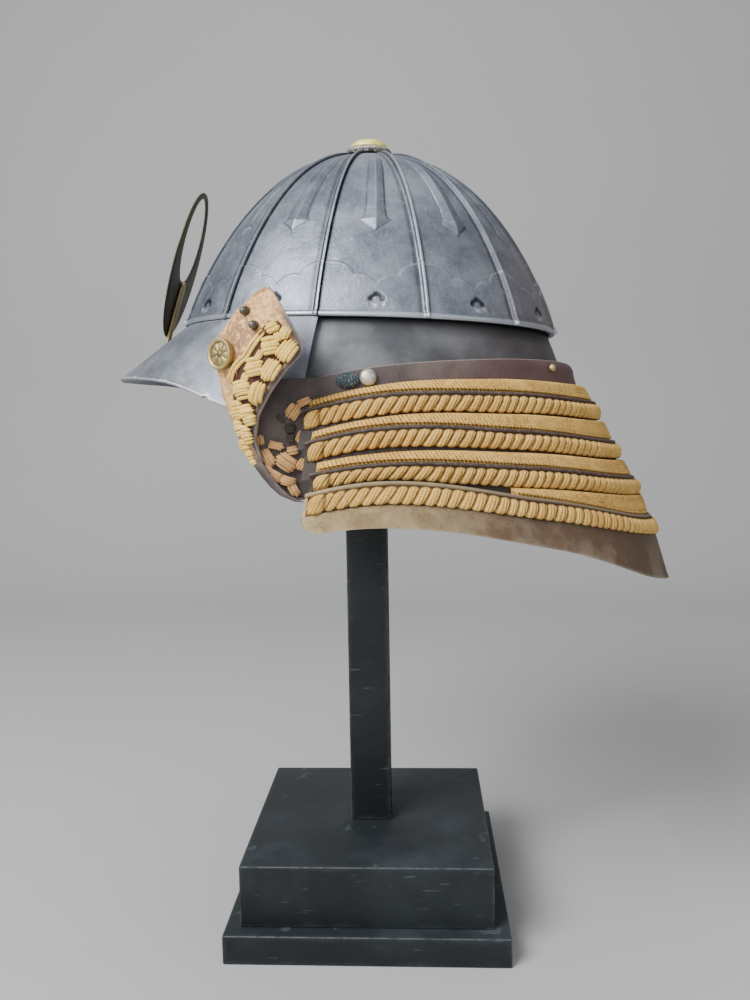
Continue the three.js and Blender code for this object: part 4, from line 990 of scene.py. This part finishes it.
angles = end_spaced(rims[4][2], hem_columns, 0.93)
reach = (np.radians(rims[4][2]) - np.abs(angles)) * rims[5][1]
into = np.maximum(0, hem_corner - reach)
lift = hem_corner - np.sqrt(np.maximum(0, hem_corner ** 2 - into ** 2))
depth = rim_height(4, angles) - rim_height(5, angles)
hem_end = depth - lift
hem_surface = face_surface(4)
shares = (0.12, 0.25, 0.4, 0.55, 0.7, 0.85, 0.94, 0.97, 0.985, 0.995, 1.0)
drops = [2.6 + (hem_end - 2.6) * t for t in shares]
outs = [0, 0, 0, 0, 0, 0, 0, 0.15, 0.35, 0.3, -0.1]
outer = [rim_point(4, angles, out, drop) for out, drop in rim_shape]
outer += [hem_surface(angles, d, out) for d, out in zip(drops, outs)]
inner = [hem_surface(angles, d, -lame_wall) for d in [np.full_like(angles, d) for d in back_drops] + drops]
points, faces = shell(np.stack(outer), np.stack(inner))
# The first five rows are a painted highlight on the rim; the last four are the pale rubbed line along the
# lower edge.
rubbed = [0.2, 0.5, 0.7, 0.5, 0.2] + [0] * 9 + [0.1, 0.5, 0.9, 1.0]
light = np.array(rubbed)[:, None] * np.ones(hem_columns)
light = np.maximum(light, (1 - ease(reach, 0.2, 1.6)) * 0.8)
low = np.concatenate([np.zeros(7), np.linspace(0.1, 1, 11)])[:, None] * np.ones(hem_columns)
add_piece("lame_4", points, faces, material("hem_leather", hem_leather), ["lame_4"], "hem_leather",
          {"polish": light, "low": np.stack([low, low])})


# ---- Lace bands ---------------------------------------------------------------------------------
# Fine straw-coloured cords hang side by side from each lame to the rim of the next. Only a narrow
# row of them shows above the rim, like a thin rope, thicker at the rear.
band_depth, band_bulge, band_side = 3.6, 5.2, 4.6
band_rear = [9.5, 11.6, 9.5, 12.7]
band_ends = [rims[1][2], rims[2][2], rims[3][2], 66.0]


def straw(place):
    """Straw cord with fine fibres and dust: pale on the crown of each strand, with painted brown shade
    between the strands and painted near-black shade in the gaps.
    """
    strand, pit = place.mark("strand"), place.mark("pit")
    fibre = place.noise(1400, 3, 0.75)
    cloud = place.noise(60, 5, 0.65)
    base = cloud.rise(0.3, 0.7).blend((0.70, 0.35, 0.055), (1.0, 0.60, 0.14))
    grey = (place.axis(0).rise(0.0, 0.15) * 0.12).blend(base, (0.50, 0.36, 0.16))
    pale = (fibre.rise(0.45, 0.66) * 0.8).blend(grey, (1.0, 0.80, 0.32))
    # Painted shade: brown between the strands, and near black where the gap mark is high.
    brown = ((fibre.rise(0.5, 0.34) * 0.6).most((1 - strand) * 0.8)).blend(pale, (0.26, 0.135, 0.045))
    return {
        "Base Color": (pit * 0.85).blend(brown, (0.045, 0.022, 0.010)),
        "Roughness": 0.85,
        "Specular IOR Level": 0.25,
        "Normal": (fibre + 0.7 * place.noise(3200, 2)).bump(0.0006, 0.9),
    }


straw_finish = material("straw_cord", straw)


def even_angles(index, end, spacing):
    """Angles from -end to end degrees at even steps along the rim, and the length in mm at each."""
    fine = np.radians(np.linspace(-end, end, 4001))
    steps = np.linalg.norm(np.diff(rim_point(index, fine, 0, 0), axis=0), axis=1)
    length = np.concatenate([[0], np.cumsum(steps)])
    count = int(length[-1] / spacing / 12) * 12 + 1
    at = np.linspace(0, length[-1], count)
    return np.interp(at, length, fine), at - length[-1] / 2


def braid_foot(index, angle):
    room = rim_height(index, angle) - rim_height(index + 1, angle)
    return np.minimum(braid_top + braid_height, room - 0.7)


for index in range(4):
    end = band_ends[index]
    angles, at = even_angles(index + 1, end - 0.6, 0.42)
    surface = face_surface(index)
    room = rim_height(index, angles) - rim_height(index + 1, angles)
    height = band_side + (band_rear[index] - band_side) * np.maximum(0, np.cos(angles))
    top = np.maximum(room - height, 0 if index == 0 else braid_foot(index, angles) + 0.7)
    foot = room + overlap - 0.5
    drop_rows = [top, top + 0.25, top + 0.9, np.maximum(top + 1.6, room - 1.6), room - 0.5, foot]
    out_rows = [0.5, 2.6, 4.0, band_bulge, band_depth, band_depth]
    drops = curve_through([np.array(row) for row in drop_rows], 4)
    outs = curve_through([np.full_like(angles, row) for row in out_rows], 4)
    lean = np.tanh(at / 30) * 0.55
    phase = (at[None, :] + lean * (drops - top)) / 2.2 + 0.15 * np.sin(at / 9.3)
    strand = np.abs(np.cos(np.pi * phase)) ** 0.6
    wobble = 0.25 * np.sin(at / 5.1) * np.sin(at / 13.7 + index)
    shape = ease(outs, 0.5, 3.0)
    taper = np.sqrt(np.clip((np.abs(at).max() - np.abs(at)) / 3.0, 0.02, 1))
    outer = surface(angles, drops, (outs - 0.5 + shape * (1.5 * strand - 1.05 + wobble)) * taper + 0.5)
    back = np.linspace(0, 1, (len(drops) - 1) // 4 + 1)[:, None]
    inner = surface(angles[::4], top[::4] + (foot - top)[::4] * back, 0.5)
    points, faces = shell(outer, inner)
    name = f"lace_band_{index + 1}"
    # Painted shade: dark in the grooves between strands, and on the hidden back.
    add_piece(name, points, faces, straw_finish, [name], "straw_cord",
              {"strand": strand, "pit": (ease(strand, 0.55, 0.0) * 0.9, 1)}, crease=180)


# ---- Braids -------------------------------------------------------------------------------------
# Under each rim a thick row of straw cord: slanting lobes of several strands lie against each other
# like leaning leaves, pull together into a rope towards the front, and end in a round knob.
braid_depths = [2.9, 3.4, 3.4, 2.4]
lobe_pitch = 5.8


def braid_shape(at, share, pitch, seed):
    """Height of the lobes from 0 to 1, their strands, and a random number for each lobe. The lobes lean
    forwards at the foot; across each, the height is a half ellipse and the strands are cosine ridges."""
    lean = np.tanh(at / 25) * 5.0
    phase = (at - lean * (share - 0.5)) / pitch + 0.12 * np.sin(at / 7.7 + seed) + 0.06 * np.sin(at / 2.9)
    lobe = np.floor(phase)
    across = 2 * (phase - lobe) - 1
    random = np.sin(lobe * 12.9898 + seed) * 0.5 + 0.5
    mound = np.sqrt(np.clip(1 - 0.93 * across ** 2, 0, 1))
    strand = np.cos(np.pi * (across * 3.4 + 0.3 * random + 0.8 * (share - 0.5))) * 0.5 + 0.5
    return mound, strand ** 0.7, random


for index in range(1, 5):
    end = rims[index][2]
    angles, at = even_angles(index, end - 0.6, 0.48)
    surface = face_surface(index)
    foot = braid_foot(index, angles)
    swing = np.cos(np.pi * np.linspace(0, 1, 25))[:, None]
    share = 0.5 - 0.5 * swing * (0.75 + 0.25 * swing ** 2)
    mound, strand, random = braid_shape(at[None, :], share, lobe_pitch, index * 2.1)
    to_end = (np.abs(at).max() - np.abs(at))[None, :]
    scallop = 0.34 * (1 - mound ** 1.5) + 0.08 * random - 0.04
    scallop = scallop * ease(to_end, 8, 12)
    low, high = braid_top, foot + 0.7
    rounded = np.sqrt(np.clip(1 - np.abs(2 * share - 1) ** 2.8, 0, 1))
    tip = np.sqrt(np.clip(1 - np.clip(1 - to_end / 4.3, 0, 1) ** 2, 0.02, 1))
    squeeze = (1 - scallop) * tip * (1 - 0.22 * np.exp(-((to_end - 8.9) / 1.0) ** 2))
    drops = (low + high) / 2 + (high - low) / 2 * (2 * share - 1) * squeeze
    knob = np.sqrt(np.clip(1 - ((to_end - 4.3) / 4.3) ** 2, 0, 1)) * (to_end < 8.6)
    depth = braid_depths[index - 1]
    rope = ease(to_end, 60, 9)
    lobes = (0.20 + 0.80 * mound) * (0.92 + 0.16 * random)
    lobes = lobes + rope * (0.85 - lobes) * 0.35
    swell = np.maximum(lobes * rounded * ease(to_end, 8.0, 9.6), knob * rounded * 1.12)
    outs = 0.25 + depth * 1.08 * swell + 0.65 * (strand - 0.5) * rounded * np.minimum(1, swell * 2)
    outer = surface(angles, drops, np.maximum(outs, 0.2))
    inner = surface(angles[::4], (low + (high - low)[::4] * np.linspace(0, 1, 7)[:, None]), 0.2)
    points, faces = shell(outer, inner)
    neck = ease(np.abs(to_end - 9), 1.2, 0)
    # Painted shade: dark in the gaps between lobes, along the braid's upper and lower edges, at the neck
    # and round the knob.
    gap = np.clip(ease(mound, 0.72, 0.30) + ease(rounded, 0.55, 0.1) + neck, 0, 1)
    gap = gap * ease(to_end, 5, 9) + ease(knob + 0 * gap, 0.5, 0.1) * ease(to_end, 9, 5)
    name = f"lace_braid_{index}"
    add_piece(name, points, faces, straw_finish, [name], "straw_cord",
              {"strand": strand, "pit": (np.clip(gap, 0, 1), 1)}, crease=180)


# ---- Cord bundles on the wings and in the folds -------------------------------------------------
# The cords that hold the lames to the wings show as knotted bundles: short pale loops side by side on
# each wing, a long loop round a thong, and browner, rougher ones in the fold and at the lames' ends.
def unit(vectors):
    return vectors / np.maximum(np.linalg.norm(vectors, axis=-1, keepdims=True), 1e-9)


def tubes(paths, normals, radius, sides=8):
    """Round cords along paths (cords, steps, 3): a ring about each step in the plane across the path,
    thinner towards both ends like a half circle. Returns points, faces and how far up each point lies."""
    cords, steps = paths.shape[:2]
    ahead = unit(np.gradient(paths, axis=1))
    beside = unit(np.cross(ahead, normals))
    above = np.cross(beside, ahead)
    t = np.linspace(-1, 1, steps)
    thick = np.reshape(radius, (-1, 1)) * np.sqrt(np.clip(1.02 - np.abs(t) ** 5, 0.02, 1))
    angle = np.linspace(0, 2 * np.pi, sides, endpoint=False)
    ring = np.cos(angle)[:, None] * beside[:, :, None] + np.sin(angle)[:, None] * above[:, :, None]
    points = paths[:, :, None] + thick[:, :, None, None] * ring
    first = np.arange(cords)[:, None, None] * steps * sides
    body = (quads(steps, sides, ring=True)[None] + first).reshape(-1, 4)
    start = (np.arange(sides)[::-1][None] + first[:, 0]).reshape(-1, sides)
    stop = (np.arange(sides)[None] + (steps - 1) * sides + first[:, 0]).reshape(-1, sides)
    up = np.broadcast_to(np.sin(angle) * 0.5 + 0.5, points.shape[:-1])
    return points.reshape(-1, 3), [body, start, stop], up.ravel()


def bundle_paths(base, bundles, seed):
    """Cords of many bundles, each (x, z, turn in degrees, length, width, cords, rise): a cord crosses the
    bundle's length in an arch, higher in the middle cords, and strays a little from its line."""
    chance = np.random.default_rng(seed)
    t = np.linspace(-1, 1, 13)
    lines, rings, radii = [], [], []
    for x, z, heading, length, width, cords, rise in bundles:
        slot = ((np.arange(cords) - (cords - 1) / 2) / cords)[:, None]
        outer_less = 1 - 0.35 * (2 * slot) ** 2
        offset = slot * width + 0.25 * chance.standard_normal((cords, 1)) * (1 - t ** 2)
        reach = length / 2 * outer_less * t + 0.25 * chance.standard_normal((cords, 1))
        height = 0.5 + rise * outer_less * np.sqrt(1 - 0.97 * t ** 2)
        spin = np.radians(heading)
        across = x + reach * np.cos(spin) - offset * np.sin(spin)
        up = z + reach * np.sin(spin) + offset * np.cos(spin)
        lines.append(base(across, up, height))
        rings.append(base(across, up, height + 1) - base(across, up, height))
        radii.append(np.full(cords, width / cords * 0.68) * (1 + 0.08 * chance.standard_normal(cords)))
    return np.concatenate(lines), np.concatenate(rings), np.concatenate(radii)


def fold_floor(side, x, z, out):
    """The floor of the fold, moved out along the helmet's width."""
    return joined(x, side * (fold_sheet(x, z) + leaf_wall / 2 + out), z)


wing_bundles = [
    (-50.3, -12.2, 25, 7.0, 5.6, 4, 1.8), (-44.2, -14.8, 65, 6.5, 5.0, 4, 2.2),
    (-47.2, -16.6, 110, 5.0, 3.5, 3, 1.6), (-51.3, -21.3, 11, 9.5, 8.4, 5, 2.4),
    (-42.9, -23.6, 55, 12.5, 7.8, 5, 3.2), (-56.4, -25.3, 60, 6.0, 3.4, 3, 1.4),
    (-59.0, -31.8, 12, 9.5, 8.8, 5, 2.6), (-50.9, -33.0, 60, 12.5, 7.4, 5, 3.2),
    (-63.6, -37.0, 70, 5.0, 3.0, 2, 1.2), (-65.2, -43.0, 14, 9.5, 9.6, 6, 2.6),
    (-57.4, -44.4, 76, 12.5, 6.6, 4, 3.2), (-67.6, -53.0, 14, 6.0, 9.4, 6, 2.2),
    (-62.3, -55.4, 16, 7.0, 10.4, 7, 3.0), (-67.2, -62.2, 18, 5.2, 8.4, 6, 2.2),
    (-63.0, -65.6, 18, 5.4, 9.0, 6, 2.8), (-64.6, -71.2, 20, 5.4, 6.4, 5, 2.4),
    (-62.2, -75.6, 24, 4.2, 4.6, 4, 2.2), (-60.2, -79.4, 28, 3.2, 3.4, 3, 1.8),
]
fold_bundles = [
    (-58.2, -68.5, 100, 6.0, 3.4, 3, 1.6), (-50.3, -71.0, -12, 9.0, 4.6, 3, 1.6),
    (-41.4, -73.2, 12, 6.5, 4.4, 3, 1.6), (-54.0, -77.4, -55, 11.0, 5.8, 4, 2.2),
    (-44.4, -79.6, -35, 12.5, 8.0, 6, 2.8), (-53.6, -84.0, -48, 9.0, 3.8, 3, 1.8),
    (-49.6, -87.0, -28, 9.0, 5.0, 4, 2.4), (-43.6, -89.6, -16, 9.5, 5.4, 4, 2.6),
    (-40.2, -94.0, -58, 8.5, 4.8, 4, 2.2), (-41.4, -53.2, 55, 9.0, 6.8, 5, 3.0),
    (-36.0, -48.2, 24, 9.0, 3.8, 3, 2.0), (-36.8, -66.2, 66, 8.0, 5.0, 4, 2.4),
    (-36.2, -80.6, 60, 8.0, 4.4, 4, 2.2),
]
dark_bundles = [
    (-42.6, -61.8, 5, 5.6, 4.4, 3, 1.6), (-42.4, -67.0, -10, 5.0, 3.6, 3, 1.4),
    (-47.4, -57.0, -42, 5.0, 1.8, 1, 1.0),
]


def cord_colour(pale, deep, shade_colour):
    """Cord of one colour with twisted fibres along it: lighter on the upper side of each cord and darker on
    its lower side, as painted light and shade.
    """
    def look(place):
        strand, pit = place.mark("strand"), place.mark("pit")
        fibre = place.noise(1500, 3, 0.7)
        cloud = place.noise(120, 4, 0.6)
        base = (cloud.rise(0.3, 0.7) * 0.6 + 0.4 * strand).blend(deep, pale)
        between = (1 - strand).rise(0.45, 0.95) * 0.8
        stained = (fibre.rise(0.52, 0.34) * 0.45).most(between).blend(base, shade_colour)
        return {
            "Base Color": (pit * 0.9).blend(stained, shade_colour),
            "Roughness": 0.85,
            "Specular IOR Level": 0.25,
            "Normal": (fibre + 0.6 * place.noise(3000, 2)).bump(0.0003, 0.6),
        }
    return look


pale_finish, brown_finish, dark_finish, thong_finish = (material(name, cord_colour(*tones_and_shade)) for name, tones_and_shade in [
    ("pale_cord", [(1.0, 0.74, 0.20), (0.84, 0.47, 0.10), (0.20, 0.085, 0.03)]),
    ("brown_cord", [(0.82, 0.49, 0.21), (0.46, 0.235, 0.095), (0.09, 0.042, 0.024)]),
    ("dark_cord", [(0.10, 0.08, 0.06), (0.05, 0.04, 0.032), (0.015, 0.012, 0.010)]),
    ("thong", [(0.26, 0.115, 0.070), (0.15, 0.065, 0.040), (0.05, 0.025, 0.018)]),
])
ground_table = np.array([
    (-9, -53, -45), (-15, -58, -40.5), (-22, -62.5, -37.8), (-28, -67, -40.5), (-36, -71.5, -47),
    (-46, -71.0, -54), (-57, -69.0, -58.5), (-66, -66.6, -60.0), (-79, -61.4, -58.4)])
long_loop = np.array([(-71.4, -39.0), (-70.2, -34.0), (-66.8, -29.4), (-63.6, -26.6), (-61.6, -23.0),
                      (-58.4, -18.4), (-54.6, -13.6)])
thong_line = np.array([(-67.9, -37.0), (-67.4, -31.0), (-64.0, -26.2), (-61.0, -23.0), (-59.2, -18.0),
                       (-56.0, -14.6), (-52.6, -14.2)])

for word, side in [("left", -1), ("right", 1)]:
    def on_wing(x, z, out):
        return leaf_point(side, x, z, out)

    def in_fold(x, z, out):
        return fold_floor(side, x, z, out)

    for name, base, bundles, seed, finish, node, slot in [
        ("wing_lace", on_wing, wing_bundles, 3, pale_finish, "wing_lace", "pale_cord"),
        ("fold_lace", in_fold, fold_bundles, 5, brown_finish, "fold_lace", "brown_cord"),
        ("fold_ties", in_fold, dark_bundles, 7, dark_finish, "fold_lace", "brown_cord"),
    ]:
        lines, upward, radii = bundle_paths(base, bundles, seed)
        points, faces, up = tubes(lines, upward, radii, sides=10)
        # Each cord is painted lighter on its upper side and darker on its lower side, as light and shade.
        add_piece(f"{name}_{word}", points, faces, finish, [f"{node}_{word}"], slot,
                  {"strand": ease(up, 0.1, 0.9), "pit": ease(up, 0.35, 0.0)}, crease=180)
    for name, line, radius, shifts, finish in [
        ("long_loop", long_loop, 0.95, (-0.95, 0.95), pale_finish),
        ("thong", thong_line, 0.75, (0.0,), thong_finish),
    ]:
        run = np.stack([curve_through(list(line), 6) + [shift * 0.8, -shift * 0.55] for shift in shifts])
        lines = on_wing(run[..., 0], run[..., 1], 1.3)
        upward = on_wing(run[..., 0], run[..., 1], 2.3) - lines
        points, faces, up = tubes(lines, upward, np.full(len(shifts), radius), sides=12)
        # Each cord is painted lighter on its upper side and darker on its lower side, as light and shade.
        add_piece(f"{name}_{word}", points, faces, finish, [f"wing_lace_{word}"], "pale_cord",
                  {"strand": ease(up, 0.1, 0.9), "pit": ease(up, 0.3, 0.0)}, crease=180)
    z = np.linspace(-9, -79, 61)
    front, rear = (np.interp(-z, -ground_table[:, 0], ground_table[:, k])[:, None] for k in (1, 2))
    rear = rear - 2.5
    t = np.linspace(0, 1, 25)
    x = front + (rear - front) * t
    zz = np.repeat(z[:, None], 25, axis=1)
    ends = np.sqrt(np.sin(np.pi * np.linspace(0.02, 0.98, 61)))[:, None]
    swell = np.sin(np.pi * t) ** 0.5 * ends
    points, faces = shell(on_wing(x, zz, 0.2 + 1.1 * swell), on_wing(x, zz, -0.3))
    # The ground is darkened all over by the painted shade marks, as shade under and between the bundles.
    add_piece(f"lace_ground_{word}", points, faces, thong_finish, [f"wing_lace_{word}"], "pale_cord",
              {"strand": 0.2, "pit": 0.35})


# ---- Bosses, studs and rivets -------------------------------------------------------------------
# On each wing a brass boss, a dished disc with a plain eight-petalled rosette, and two dark domed studs;
# on the neck plate a pewter dome, a small brass stud at the back and a knot of dark cloth.
def seated(points, spot, axis):
    """Turns a piece whose own axis is +Z by the shortest way on to another axis and moves it to a spot."""
    axis = unit(np.asarray(axis, dtype=float))
    cross = np.array([[0, 0, axis[0]], [0, 0, axis[1]], [-axis[0], -axis[1], 0]])
    spin = np.eye(3) + cross + cross @ cross / (1 + axis[2])
    return points @ spin.T + spot


def leaf_axis(side, x, z):
    return leaf_point(side, x, z, 1.0) - leaf_point(side, x, z, 0.0)


def aged_brass(tone, grime_and_shade_colour):
    """Old cast metal of one tone, dull with grime in its hollows and brighter where it is rubbed; one mark
    also paints shade round the feet of the domes, the other paints highlights on their tops.
    """
    def look(place):
        grime, edge = place.mark("grime"), place.mark("polish")
        cloud = place.noise(180, 4, 0.65)
        speck = place.noise(900, 3, 0.6)
        shade = cloud.rise(0.3, 0.7).blend([0.62 * c for c in tone], tone)
        grimed_and_shaded = (grime * 0.85).most(speck.rise(0.6, 0.75) * 0.4).blend(shade, grime_and_shade_colour)
        return {
            "Base Color": (edge * 0.7).blend(grimed_and_shaded, [min(1.0, 1.25 * c + 0.02) for c in tone]),
            "Metallic": 0.8,
            "Roughness": 0.36 + 0.22 * cloud,
            "Normal": (speck + cloud).bump(0.00012, 0.5),
        }
    return look


brass_finish, stud_finish, pewter_finish = (material(name, aged_brass(*tones)) for name, tones in [
    ("aged_brass", [(0.56, 0.44, 0.20), (0.085, 0.060, 0.025)]),
    ("dark_stud", [(0.16, 0.15, 0.14), (0.03, 0.03, 0.03)]),
    ("pewter", [(0.60, 0.57, 0.50), (0.16, 0.13, 0.10)]),
])


def cloth_knot(place):
    """Dark blue-green cloth, coarse weave with pale flecks."""
    weave = place.mark("strand")
    fleck = place.noise(900, 3, 0.7)
    shade = weave.blend((0.012, 0.020, 0.026), (0.060, 0.090, 0.105))
    return {"Base Color": (fleck.rise(0.56, 0.68) * 0.8).blend(shade, (0.42, 0.47, 0.48)), "Roughness": 0.9,
            "Normal": fleck.bump(0.0003, 0.7)}


knot_finish = material("dark_cloth", cloth_knot)


def dome_profile(radius, height):
    """Straight foot, then a quarter of a slightly squared ellipse up to the middle."""
    bend = np.linspace(0, np.pi / 2, 12)
    return [(1e-4, -0.4), (radius * 0.9, -0.4), (radius, 0.1),
            *[(radius * np.cos(a) ** 0.8 + 1e-4, 0.35 + (height - 0.35) * np.sin(a)) for a in bend]]


boss_profile = [
    (1e-4, -0.5), (8.0, -0.5), (8.25, 0.3), (8.3, 2.2), (8.35, 2.9), (8.2, 3.3), (7.9, 3.4), (7.4, 3.38),
    (6.9, 3.2), (6.5, 2.8), (6.25, 2.3), (6.1, 1.95), (5.6, 1.9), (5, 1.95), (4.4, 2.0), (3.8, 2.05),
    (3.2, 2.1), (2.6, 2.15), (2.1, 2.2), (1.8, 2.35), (1.5, 2.75), (1.1, 2.95), (0.6, 3.05), (1e-4, 3.1)]
for word, side in [("left", -1), ("right", 1)]:
    boss, around = turned(boss_profile, 160)
    boss[..., :2] *= 0.94
    radius = np.hypot(boss[..., 0], boss[..., 1])
    petal = np.abs(np.cos(4 * around)) ** 0.5 * np.sqrt(np.clip(1 - ((radius - 3.9) / 2.2) ** 2, 0, 1))
    petal = petal * (np.arange(boss.shape[0]) > 3)[:, None]
    boss[..., 2] += 0.55 * petal
    boss = seated(boss, leaf_point(side, -76.0, -25.2, 0.4), leaf_axis(side, -76.0, -25.2))
    row = np.arange(len(boss_profile))[:, None] * np.ones_like(around)
    # Grime in the dish round the petals, and painted shade at the foot.
    grime = np.where((radius < 6.3) & (row > 5), 0.75 - 0.75 * petal, 0.15) + (row < 3) * 0.3
    edge = ((row > 4) & (row < 9)) * 0.6 + 0.35 * petal
    add_piece(f"boss_{word}", boss, [quads(*boss.shape[:2], ring=True)], brass_finish,
              [f"boss_{word}"], "brass", {"grime": grime, "polish": edge}, crease=50)
    for number, (x, z) in enumerate([(-64.3, -3.5), (-59.7, -11.0)]):
        stud, around = turned(dome_profile(2.4, 4.2), 40)
        light = ease(stud[..., 2], 2.8, 4.2) * 0.5
        stud = seated(stud, leaf_point(side, x, z, 0.5), leaf_axis(side, x, z))
        name = f"wing_stud_{number + 1}_{word}"
        add_piece(name, stud, [quads(*stud.shape[:2], ring=True)], stud_finish, [name], "dark_iron",
                  {"grime": 0, "polish": light})
    for name, turn_by, drop, radius, height, finish, slot in [
        ("neck_rivet", 91.2, 5.1, 4.6, 3.2, pewter_finish, "pewter"),
        ("back_stud", 37.0, 4.6, 2.3, 2.6, brass_finish, "brass"),
        ("cloth_knot", 95.9, 4.9, 4.1, 3.6, knot_finish, "dark_cloth"),
    ]:
        angle = np.array(-side * np.radians(turn_by))
        spot = face_surface(0)(angle, np.array(drop), 0.5)
        axis = unit(np.array([np.cos(angle) / rims[0][0], -np.sin(angle) / rims[0][1], 0]))
        axis[2] = 0.12
        piece, around = turned(dome_profile(radius, height), 64)
        if name == "cloth_knot":
            piece[..., 0] *= 12.6 / 8.2
            x, y = piece[..., 0], piece[..., 1]
            weave = np.sin(x * 3.1 + 0.9 * y) * np.sin(y * 3.6 - 0.6 * x)
            piece[..., 2] += 0.35 * weave * (piece[..., 2] > 0.5)
            marks = {"strand": weave * 0.5 + 0.5}
        else:
            # Painted shade round the foot of the dome and a painted highlight on its top.
            marks = {"grime": ease(piece[..., 2], 1.0, 0.2) * 0.7,
                     "polish": ease(piece[..., 2], height * 0.6, height) * 0.25}
        add_piece(f"{name}_{word}", seated(piece, spot, axis), [quads(*piece.shape[:2], ring=True)], finish,
                  [f"{name}_{word}"], slot, marks)


# ---- Crest and its holder -----------------------------------------------------------------------
# A crescent cut from thin dark bronze, its tips nearly meeting over the round opening, slips over an
# upright brass tongue at the front of the peak.
crest_foot = np.array([-129.8, 0.0, -7.0])
crest_lean = np.radians(15.4)


def bronze(place):
    edge = place.mark("polish")
    cloud = place.noise(60, 5, 0.65)
    speck = place.noise(700, 3, 0.6)
    shade = cloud.rise(0.3, 0.7).blend((0.022, 0.017, 0.009), (0.055, 0.043, 0.022))
    worn = speck.rise(0.5, 0.75) * 0.35
    return {"Base Color": (edge * 0.35).most(worn).blend(shade, (0.24, 0.19, 0.09)), "Metallic": 0.75,
            "Roughness": 0.40 + 0.2 * cloud, "Normal": (speck + cloud).bump(0.00012, 0.5)}


def on_crest(points):
    """The crest's own frame: x through its thickness, y across, z up; leant back about its foot."""
    return points @ turn(1, crest_lean).T + crest_foot


count = 181
slit = 1.2


def crest_line(half_width, half_height, middle):
    """An ellipse that is open by the slit at its top, from one tip of the crescent to the other."""
    cut = np.arcsin(slit / half_width)
    bend = np.linspace(np.pi / 2 + cut, np.pi / 2 - cut + 2 * np.pi, count)
    return np.stack([half_width * np.cos(bend), middle + half_height * np.sin(bend)], axis=1)


outer_line, inner_line = crest_line(34, 46, 46), crest_line(22, 26.2, 62.2)
across = np.array([0.0, 0.02, 0.06, 0.2, 0.4, 0.6, 0.8, 0.94, 0.98, 1.0])
across = np.concatenate([across, across[-2:0:-1]])
depth = np.array([0, 0.35, 0.5, 0.56, 0.6, 0.6, 0.56, 0.5, 0.35])
depth = np.concatenate([depth, -depth]) * 1.08
y, z = (outer_line[:, None] + (inner_line - outer_line)[:, None] * across[None, :, None]).transpose(2, 0, 1)
points = joined(0.65 - depth, y, z)


def capped_tube(rows, columns):
    """Faces of a tube of rows by columns, with one flat face at each end."""
    loop = np.arange(columns)[None]
    return [quads(rows, columns, ring=True), loop[:, ::-1], loop + (rows - 1) * columns]


edges = np.broadcast_to((np.abs(across - 0.5) > 0.46) * 0.9, points.shape[:2])
add_piece("crest", on_crest(points), capped_tube(count, len(across)), material("crest_bronze", bronze),
          ["crest"], "crest_bronze", {"polish": edges})

heights = np.concatenate([np.linspace(-4.6, 30, 12), 30 + 6 * np.sin(np.linspace(0.15, np.pi / 2, 9))])
half_width = 4 * np.sqrt(np.clip(1 - np.clip((heights - 30) / 6.02, 0, 1) ** 2, 0, 1)) + 0.02
corner = np.linspace(0, 2 * np.pi, 24, endpoint=False)
loop_y = np.sign(np.cos(corner)) * np.abs(np.cos(corner)) ** 0.3
loop_x = np.sign(np.sin(corner)) * np.abs(np.sin(corner)) ** 0.3
points = joined(2.5 + 0.9 * loop_x, half_width[:, None] * loop_y, heights[:, None])
add_piece("crest_holder", on_crest(points), capped_tube(len(heights), 24), brass_finish, ["crest_holder"],
          "brass", {"grime": 0.25, "polish": 0})
